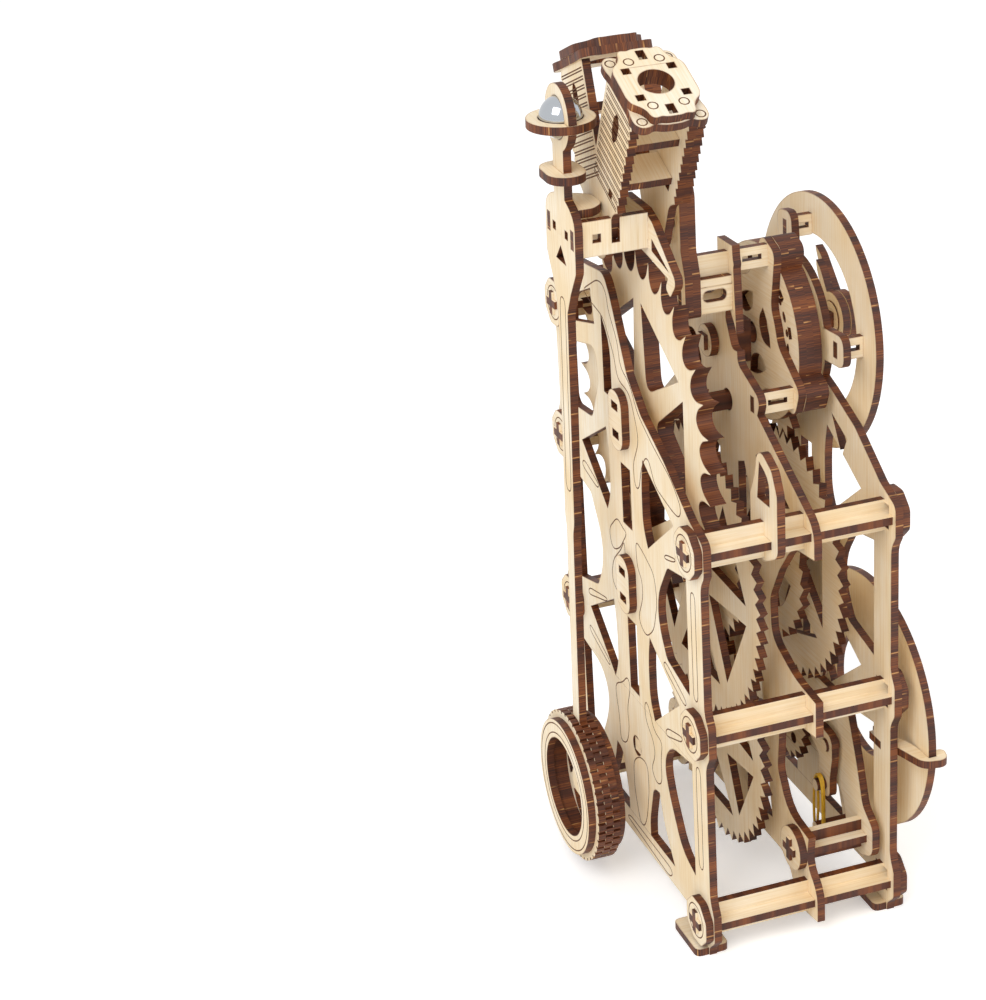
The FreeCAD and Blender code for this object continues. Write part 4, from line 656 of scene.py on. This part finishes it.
class CLOCK_OT_stage(bpy.types.Operator):
    """Camera at the photograph's angle, pale floor and soft lamps"""
    bl_idname = "clock.stage"
    bl_label = "Camera and stage"

    def execute(self, context):
        studio = context.scene.clock_studio
        yaw, pitch, roll = (math.radians(a) for a in studio.camera_turn)
        forward = Vector((math.sin(yaw) * math.cos(pitch), math.cos(yaw) * math.cos(pitch),
                          -math.sin(pitch)))
        level = Vector((math.cos(yaw), -math.sin(yaw), 0))
        upright = level.cross(forward)
        right = level * math.cos(roll) + upright * math.sin(roll)
        up = upright * math.cos(roll) - level * math.sin(roll)
        camera = bpy.data.cameras.new("photo_camera")
        camera.lens = studio.focal_length
        camera.sensor_width = 36.0
        camera.shift_x, camera.shift_y = -0.005, -0.018  # the photograph is cropped off centre
        camera.clip_end = 20
        holder = bpy.data.objects.new("photo_camera", camera)
        turn = Matrix((right, up, -forward)).transposed().to_4x4()
        holder.matrix_world = Matrix.Translation(studio.camera_place) @ turn
        context.collection.objects.link(holder)
        context.scene.camera = holder

        deselect()
        bpy.ops.mesh.primitive_plane_add(size=8, location=(0, 0, 0))
        floor = context.object
        floor.name = "studio_floor"
        floor.data.materials.append(studio_floor())

        middle_of_clock = Vector((0, 0, 0.17))
        for name, place, size, power in (
                ("key_lamp", (-1.1, -0.9, 1.5), 1.2, studio.key_power),
                ("fill_lamp", (1.4, -0.9, 0.9), 1.4, studio.fill_power)):
            lamp = bpy.data.lights.new(name, "AREA")
            lamp.size = size
            lamp.energy = power
            obj = bpy.data.objects.new(name, lamp)
            obj.location = place
            obj.rotation_mode = "QUATERNION"
            obj.rotation_quaternion = (middle_of_clock - Vector(place)).to_track_quat("-Z", "Y")
            context.collection.objects.link(obj)

        world = bpy.data.worlds.new("studio_air")
        world.use_nodes = True
        tree = world.node_tree
        tree.nodes.clear()
        light = add_node(tree, "ShaderNodeLightPath")
        seen = add_node(tree, "ShaderNodeMath", {"operation": "MAXIMUM"},
                        {0: light.outputs["Is Camera Ray"], 1: light.outputs["Is Glossy Ray"]})
        strength = add_node(tree, "ShaderNodeMapRange", {"To Min": 0.66, "To Max": 1.0},
                            {"Value": seen.outputs["Value"]})
        sky = add_node(tree, "ShaderNodeBackground", {"Color": (1, 1, 1, 1)},
                       {"Strength": strength.outputs["Result"]})
        add_node(tree, "ShaderNodeOutputWorld", links={"Surface": sky.outputs["Background"]})
        context.scene.world = world
        context.scene.view_settings.view_transform = "Standard"
        return {"FINISHED"}


class CLOCK_OT_sheets(bpy.types.Operator):
    """Birch faces and burnt edges on every carried-over sheet"""
    bl_idname = "clock.sheets"
    bl_label = "Plywood sheets"

    def execute(self, context):
        x, y, z = (1, 0, 0), (0, 1, 0), (0, 0, 1)
        engraving_burn()
        upright = plywood("birch_plywood_upright", x, z)
        crosswise = plywood("birch_plywood_crosswise", x, y)
        flat = plywood("birch_plywood_flat", z, x)
        on_edge = plywood("birch_plywood_on_edge", y, x)
        for name in ("rear_plate", "middle_plate", "front_plate", "link_lever", "pendulum_plate",
                     "vee_plates", "fin_stacks", "dial_ring", "lower_ring", "hour_hand",
                     "minute_hand", "third_wheel", "great_wheel", "pivot_brackets"):
            put(laser_cut(name, x, upright), name)
        put(laser_cut("escape_wheel_rear", x, upright, blunt=120), "escape_wheel_rear")
        put(laser_cut("escape_wheel_front", x, crosswise, blunt=120), "escape_wheel_front")
        for name in ("end_caps_rear", "end_caps_front"):  # their eight corners stay crisp
            put(laser_cut(name, x, crosswise, most=1.2 * MM), name)
        for name in ("winding_plate", "short_beam_caps", "bearing_caps", "drum_cage", "drum_rim",
                     "ratchet_wheel", "click", "centre_pinion", "brake_wheel", "motion_wheel",
                     "escape_pinion", "idler_pinion", "dial_wheel", "dial_arbor_cap", "anchor",
                     "bob_core"):
            put(laser_cut(name, x, crosswise), name)
        put(laser_cut("ring_shelf", z, flat), "ring_shelf")
        for name in ("bridge_rails", "ring_posts"):
            put(laser_cut(name, y, on_edge), name)
        dress(crosswise, "great_arbor", "centre_arbor", "escape_arbor", "dial_arbor", "dial_sleeve",
              "pivot_pin", "fixed_pins")
        dress(flat, "beam_flats", "short_beams")
        dress(on_edge, "beam_uprights", "drum_posts")
        return {"FINISHED"}


def cylinder_place(lean, out):
    """The plane across a cylinder, out mm from the pivot, its axes X and across the lean."""
    turn = Matrix.Rotation(math.radians(lean), 4, "X")
    return PENDULUM @ turn @ Matrix.Translation((HEAD_X * MM, 0, out * MM))


class CLOCK_OT_pendulum_head(bpy.types.Operator):
    """Two cylinder heads, each a cover on a gasket with engraved bolt rings, and their mounts"""
    bl_idname = "clock.pendulum_head"
    bl_label = "Pendulum head"

    def four_ways(self, quarter):
        """A whole outline from its quarter."""
        half = quarter + [(-a, b) for a, b in reversed(quarter)]
        return half + [(-a, -b) for a, b in half]

    def execute(self, context):
        tilted = PENDULUM.to_3x3()
        lying = plywood("birch_plywood_lying", tilted @ Vector((0, 0, 1)),
                        tilted @ Vector((0, 1, 0)))
        standing = plywood("birch_plywood_standing", tilted @ Vector((0, 1, 0)),
                           tilted @ Vector((0, 0, 1)))
        for name in ("halo_plate", "pendulum_collar", "box_top"):
            put(laser_cut(name, tilted @ Vector((0, 0, 1)), lying, blunt=80), name)
        put(laser_cut("box_sides", tilted @ Vector((0, 1, 0)), standing), "box_sides")
        bore = ring((0, 0), 6.2, 40)
        bolt_ring = 1.7
        gasket_out = 58.5
        cover_out = gasket_out + PLY
        cover_top = cover_out + PLY
        fins_from, fin_gap, fin_count, fin_reach = 19.0, 3.0, 13, 11.0
        rear_of_vee = -38.65
        pieces = []
        for lean, side in ((LEAN, "near"), (-LEAN, "far")):
            turn = cylinder_place(lean, 0).to_3x3()
            wood = plywood("birch_plywood_head_" + side, turn @ Vector((0, 0, 1)),
                           turn @ Vector((0, 1, 0)))
            near = side == "near"
            put(laser_cut("cylinder_braces", turn @ Vector((0, 0, 1)), wood,
                          keep=lambda place: (place.y < PIVOT.y) == near), "cylinder_braces")
            cover = self.four_ways([(12.9, 0.6), (12.9, 6.5), (12.2, 9.2), (9.8, 11.3), (8.4, 13.6),
                                    (8.0, 16.4), (6.6, 17.6), (4.4, 16.9), (2.6, 17.6)])
            slots = [oblong((a, b), PLY, PLY) for a in (-8.1, 8.1) for b in (-6.9, 6.9)]
            slots += [oblong((0, b), PLY, 4.8) for b in (-14.1, 14.1)]
            pieces.append(new_sheet(side + "_head_cover", [eased(cover, 1.2), bore] + slots,
                                    cylinder_place(lean, cover_out), wood))
            gasket = self.four_ways([(12.6, 0.8), (12.6, 8.6), (13.3, 12.0), (13.2, 16.2), (11.2, 18.4),
                                     (8.4, 18.2), (6.6, 17.0), (3.2, 18.3)])
            pieces.append(new_sheet(side + "_head_gasket", [eased(gasket, 2.2), bore],
                                    cylinder_place(lean, gasket_out), wood))
            for name, a, b, out in (("_cover_rings", 5.5, 11.4, cover_top),
                                    ("_gasket_rings", 10.3, 15.2, cover_out)):
                rings = [ring((i * a, j * b), bolt_ring, 20) for i in (-1, 1) for j in (-1, 1)]
                engraving(side + name, rings, cylinder_place(lean, out), "cylinder_heads",
                          soft=False)
            fins = [[(-fin_reach, out), (fin_reach, out)] for i in range(fin_count)
                    for out in (fins_from + fin_gap * i, fins_from + fin_gap * i + 1.0)]
            leaning = PENDULUM @ Matrix.Rotation(math.radians(lean), 4, "X")
            engraving(side + "_fin_lines", fins, leaning @ on_x(rear_of_vee * MM), "vee_plates",
                      closed=False, soft=False)
        for piece in pieces:
            put(piece, "cylinder_heads")
        return {"FINISHED"}


class CLOCK_OT_feet(bpy.types.Operator):
    """Four long foot plates under the corners of the side frames"""
    bl_idname = "clock.feet"
    bl_label = "Feet"

    def execute(self, context):
        wide, long, slot_long = 13.0, 22.0, 10.0
        from_middle = 54.5
        wood = bpy.data.materials["birch_plywood_flat"]
        middle = sum(corner[1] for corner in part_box("rear_plate")) / 2 / MM
        feet = []
        for plate in ("rear_plate", "front_plate"):
            x = sum(corner[0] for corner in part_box(plate)) / 2 / MM
            for side in (-1, 1):
                at = (x, middle + side * from_middle)
                loops = [eased(oblong(at, wide, long), 2.5), oblong(at, PLY, slot_long)]
                feet.append(new_sheet(f"foot_{len(feet)}", loops, Matrix.Identity(4), wood))
        for foot in feet:
            put(foot, "feet")
        return {"FINISHED"}


class CLOCK_OT_drum_face(bpy.types.Operator):
    """The drum's face with its ring of oval holes, long and short in turn"""
    bl_idname = "clock.drum_face"
    bl_label = "Drum face"

    def execute(self, context):
        hole_count, holes_out = 26, 24.5
        hole_high, long_hole, short_hole = 1.1, 2.1, 1.5
        axis = Vector((1, 0, 0))
        face = laser_cut("drum_face", axis, bpy.data.materials["birch_plywood_crosswise"])
        low, high = (Vector(corner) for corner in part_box("drum_cage"))
        centre = (low + high) / 2
        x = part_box("drum_face")[0][0] + PLY / 2 * MM
        along_x = Matrix(((0, 0, 1, 0), (1, 0, 0, 0), (0, 1, 0, 0), (0, 0, 0, 1)))
        cutters = []
        for i in range(hole_count):
            turn = 2 * math.pi * i / hole_count
            deselect()
            bpy.ops.mesh.primitive_cylinder_add(vertices=16, radius=1.0, depth=1.0)
            cutter = context.object
            cutter.scale = (hole_high * MM, (long_hole if i % 2 else short_hole) * MM, 8 * MM)
            bpy.ops.object.transform_apply(location=True, rotation=True, scale=True)
            spot = Vector((x, centre.y + holes_out * MM * math.cos(turn),
                           centre.z + holes_out * MM * math.sin(turn)))
            cutter.matrix_world = (Matrix.Translation(spot) @ Matrix.Rotation(turn, 4, "X")
                                   @ along_x)
            bpy.ops.object.transform_apply(location=True, rotation=True, scale=True)
            cutters.append(cutter)
        cutter = joined(cutters)
        only(face)
        holes = face.modifiers.new("holes", "BOOLEAN")
        holes.object = cutter
        holes.operation = "DIFFERENCE"
        bpy.ops.object.modifier_apply(modifier=holes.name)
        bpy.data.objects.remove(cutter)
        # The holes' walls are burnt too, but the face round them isn't browned
        mesh = face.data
        rims = [point.value for point in mesh.attributes["scorch"].data]
        mesh.attributes.remove(mesh.attributes["scorch"])
        heat = mesh.attributes.new("scorch", "FLOAT", "CORNER")
        for polygon in mesh.polygons:
            wall = abs(polygon.normal.dot(axis)) < ON_CUT
            for corner in polygon.loop_indices:
                heat.data[corner].value = 1.0 if wall else rims[mesh.loops[corner].vertex_index]
        mesh.attributes.remove(mesh.attributes["outline_way"])
        mark_way(face, axis)
        put(face, "drum_face")
        return {"FINISHED"}


class CLOCK_OT_ball_and_bands(bpy.types.Operator):
    """Polished steel ball and the two yellow rubber bands of the click"""
    bl_idname = "clock.ball_and_bands"
    bl_label = "Ball and bands"

    def execute(self, context):
        ball_radius = 7.6
        band_radius, band_gap = 0.55, 0.9
        low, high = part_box("steel_ball")
        middle = (Vector(low) + Vector(high)) / 2
        deselect()
        bpy.ops.mesh.primitive_cube_add(size=2 * ball_radius * MM, location=middle)
        ball = context.object
        ball.name = "polished_ball"
        smooth = ball.modifiers.new("smooth", "SUBSURF")
        smooth.levels = smooth.render_levels = 5
        bpy.ops.object.modifier_apply(modifier=smooth.name)
        cast = ball.modifiers.new("round", "CAST")
        cast.factor = 1.0
        cast.use_radius_as_size = False
        cast.size = ball_radius * MM
        cast.radius = 0
        bpy.ops.object.modifier_apply(modifier=cast.name)
        bpy.ops.object.transform_apply(location=True, rotation=True, scale=True)
        bpy.ops.object.shade_smooth()
        ball.data.materials.append(polished_steel())
        put(ball, "steel_ball")

        low, high = (Vector(corner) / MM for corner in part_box("rubber_bands"))
        rubber = band_rubber()
        loops = []
        for side, lean in ((-1, 0.25), (1, -0.3)):
            x = (low.x + high.x) / 2 + side * band_gap / 2
            middle = (low.y + high.y) / 2
            wide = (high.y - low.y) / 2 - 0.6 - 0.35 * (side + 1)
            curve = bpy.data.curves.new("rubber_band", "CURVE")
            curve.dimensions = "3D"
            curve.bevel_depth = band_radius * MM
            curve.bevel_resolution = 3
            spline = curve.splines.new("NURBS")
            tall = high.z - low.z
            # Round both pins, as shares of the band's half width and of its height
            path = [(-0.55, 0.10), (-0.98, 0.16), (-0.95, 0.5), (-0.9, 0.84), (-0.5, 0.965),
                    (0.0, 0.985), (0.5, 0.965), (0.92, 0.84), (0.82 + lean, 0.5), (0.98, 0.16),
                    (0.55, 0.04), (0.0, 0.025)]
            spline.points.add(len(path) - 1)
            for point, (a, b) in zip(spline.points, path):
                point.co = (x * MM, (middle + a * wide) * MM, (low.z + b * tall) * MM, 1)
            spline.use_cyclic_u = True
            spline.order_u = 3
            obj = bpy.data.objects.new("rubber_band", curve)
            context.collection.objects.link(obj)
            loops.append(to_place(obj, Matrix.Identity(4), rubber))
        bands = joined(loops)
        bands.name = "yellow_bands"
        bpy.ops.object.shade_smooth()
        put(bands, "rubber_bands")
        return {"FINISHED"}


class CLOCK_OT_bob(bpy.types.Operator):
    """The bob as a little tyre of five plies: two pale side rings and a dark notched tread"""
    bl_idname = "clock.bob"
    bl_label = "Bob"

    def toothed(self, outer, deep, count, shift):
        """A wheel's outline with square notches; shift turns it by a share of one notch."""
        points = []
        for i in range(count):
            for part, cut in ((0.0, 0), (0.36, 0), (0.7, 0), (0.74, deep), (0.96, deep)):
                angle = 2 * math.pi * (i + part + shift) / count
                points.append(((outer - cut) * math.cos(angle), (outer - cut) * math.sin(angle)))
        return points

    def execute(self, context):
        side_outer, side_inner = 27.0, 19.6
        tread_outer, tread_inner, notch_deep, notch_count = 30.0, 21.2, 1.0, 44
        low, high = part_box("bob_sides")
        centre = (Vector(low) + Vector(high)) / 2
        centre.x = 0
        start = low[0] / MM
        wood = bpy.data.materials["birch_plywood_upright"]
        for i in range(5):
            side = i in (0, 4)
            if side:
                loops = [ring((0, 0), side_outer, 96), ring((0, 0), side_inner, 80)]
            else:
                loops = [self.toothed(tread_outer, notch_deep, notch_count, 0.5 * (i % 2)),
                         ring((0, 0), tread_inner, 80)]
            x = (start + PLY * i) * MM
            place = Matrix(((0, 0, 1, x), (1, 0, 0, 0), (0, 1, 0, 0), (0, 0, 0, 1)))
            piece = new_sheet(f"tyre_ply_{i}", loops, Matrix.Translation(centre) @ place, wood,
                              rim=0.4 if side else 0.0)
            put(piece, "bob_sides" if side else "bob_tread")
        engraving("bob_side_rings", [ring((0, 0), 25.4, 72), ring((0, 0), 21.6, 72)],
                  Matrix.Translation(centre) @ on_x((start - 0.02) * MM), "bob_sides", soft=False)
        return {"FINISHED"}


class CLOCK_OT_engraving(bpy.types.Operator):
    """Hairline engraving on the side frame, its columns and struts, and rings on the end caps"""
    bl_idname = "clock.engraving"
    bl_label = "Engraving"

    def execute(self, context):
        cap_ring, caps_at = 6.6, (-55.8, 66.3)
        columns_at, column_wide = (-55.4, 65.9), 4.0
        face = on_x(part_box("rear_plate")[0][0])
        # Picked on the photograph: curved fields first, then the lines along the struts
        closed = [
            [(12.5, 80.8), (9.7, 77.4), (14.2, 65.6), (12.7, 58.1), (16.0, 49.5), (22.9, 47.3),
             (23.3, 58.3), (26.2, 68.0), (25.0, 72.0), (18.0, 75.4)],
            [(-6.4, 79.3), (-9.3, 77.4), (-13.2, 70.0), (-21.7, 69.1), (-19.2, 61.1), (-19.7, 50.6),
             (-14.2, 47.6), (-9.0, 51.6), (-13.8, 59.6), (-12.2, 65.5), (-5.5, 70.1), (-4.5, 76.4)],
            [(10.0, 44.3), (6.3, 48.3), (1.2, 51.0), (-5.1, 50.9), (-5.7, 40.2), (-2.8, 27.5),
             (0.4, 20.7), (5.1, 19.5), (9.7, 31.8)],
            [(-2.2, 144.2), (-8.2, 142.9), (-19.7, 137.8), (-21.7, 127.3), (-17.4, 114.0),
             (-9.2, 107.6), (-1.9, 112.1), (-7.6, 122.8), (-7.5, 130.0), (-3.1, 133.6)],
            [(9.2, 139.5), (13.0, 134.1), (21.9, 126.4), (24.6, 117.4), (17.0, 112.8), (12.7, 108.1),
             (12.4, 113.9), (14.6, 120.2), (12.6, 127.0), (8.8, 133.0)],
            [(25.2, 137.9), (15.6, 146.4), (10.3, 144.0), (6.1, 143.5), (10.7, 138.1), (14.6, 133.8),
             (22.2, 130.4)],
            [(41.1, 228.3), (25.7, 236.4), (20.2, 236.5), (16.4, 233.4), (15.6, 228.4), (7.3, 218.3),
             (5.6, 209.3), (-3.2, 205.8), (-9.6, 196.7), (-22.7, 189.6), (-39.7, 182.3), (-47.7, 175.0),
             (-46.1, 170.7), (-41.2, 170.3), (-23.8, 174.0), (-19.4, 182.0), (-15.5, 182.1),
             (-10.9, 175.6), (-8.7, 167.1), (-4.5, 166.1), (-3.1, 174.6), (-9.4, 184.9), (-8.7, 190.3),
             (-2.5, 201.9), (9.0, 203.7), (11.2, 211.5), (20.9, 223.6), (34.7, 226.1)],
            [(51.9, 154.1), (35.4, 150.3), (33.6, 152.4), (49.4, 157.4)],
            [(-31.1, 150.6), (-41.3, 152.9), (-39.7, 151.0), (-30.3, 148.5)],
            [(51.2, 101.8), (31.0, 105.9), (31.0, 104.4), (51.7, 98.6)],
            [(-27.2, 106.4), (-46.8, 98.7), (-45.2, 96.0), (-25.4, 103.6)],
            [(-26.1, 78.0), (-41.2, 81.8), (-41.1, 79.4), (-25.2, 74.2)],
            [(52.4, 85.4), (31.2, 78.6), (31.2, 76.0), (52.4, 82.4)],
            [(19.8, 14.8), (-23.4, 12.0), (-26.7, 14.4), (-25.3, 16.6), (16.3, 16.9)],
        ]
        for low, high in ((34.0, 76.5), (103.5, 146.0)):
            for y in columns_at:
                closed.append(oblong((y, (low + high) / 2), column_wide, high - low))
        engraving("side_frame_lines", closed, face, "rear_plate")
        rod = PENDULUM @ on_x(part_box("pendulum_plate")[0][0])
        engraving("rod_lines", [oblong((0, -60), 5.2, 76)], rod, "pendulum_plate")
        middles = [(y, z) for y in caps_at for z in (13.0, 91.0, 162.0)] + [(caps_at[1], 216.0)]
        engraving("rear_cap_rings", [ring(middle, cap_ring, 36) for middle in middles],
                  on_x(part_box("end_caps_rear")[0][0]), "end_caps_rear", soft=False)
        return {"FINISHED"}


class ClockPanel(bpy.types.Panel):
    """Lists the clock's makers in the 3D view's sidebar"""
    bl_label = "Plywood clock"
    bl_idname = "CLOCK_PT_makers"
    bl_space_type = "VIEW_3D"
    bl_region_type = "UI"
    bl_category = "Clock"

    def draw(self, context):
        layout = self.layout
        for maker in MAKERS:
            layout.operator(maker.bl_idname)
        for settings in (context.scene.clock_finish, context.scene.clock_studio):
            for name in settings.bl_rna.properties.keys():
                if name not in {"rna_type", "name"}:
                    layout.prop(settings, name)


MAKERS = (CLOCK_OT_stage, CLOCK_OT_sheets, CLOCK_OT_feet, CLOCK_OT_drum_face,
          CLOCK_OT_pendulum_head, CLOCK_OT_ball_and_bands, CLOCK_OT_bob, CLOCK_OT_engraving)
GROUPS = {"clock_finish": ClockFinish, "clock_studio": ClockStudio}


def register():
    for name, group in GROUPS.items():
        bpy.utils.register_class(group)
        setattr(bpy.types.Scene, name, PointerProperty(type=group))
    for cls in (*MAKERS, ClockPanel):
        bpy.utils.register_class(cls)


def unregister():
    for cls in reversed((*MAKERS, ClockPanel)):
        bpy.utils.unregister_class(cls)
    for name, group in GROUPS.items():
        delattr(bpy.types.Scene, name)
        bpy.utils.unregister_class(group)


def main():
    register()
    for maker in MAKERS:
        prefix, name = maker.bl_idname.split(".")
        getattr(getattr(bpy.ops, prefix), name)()


if __name__ == "__main__":
    main()
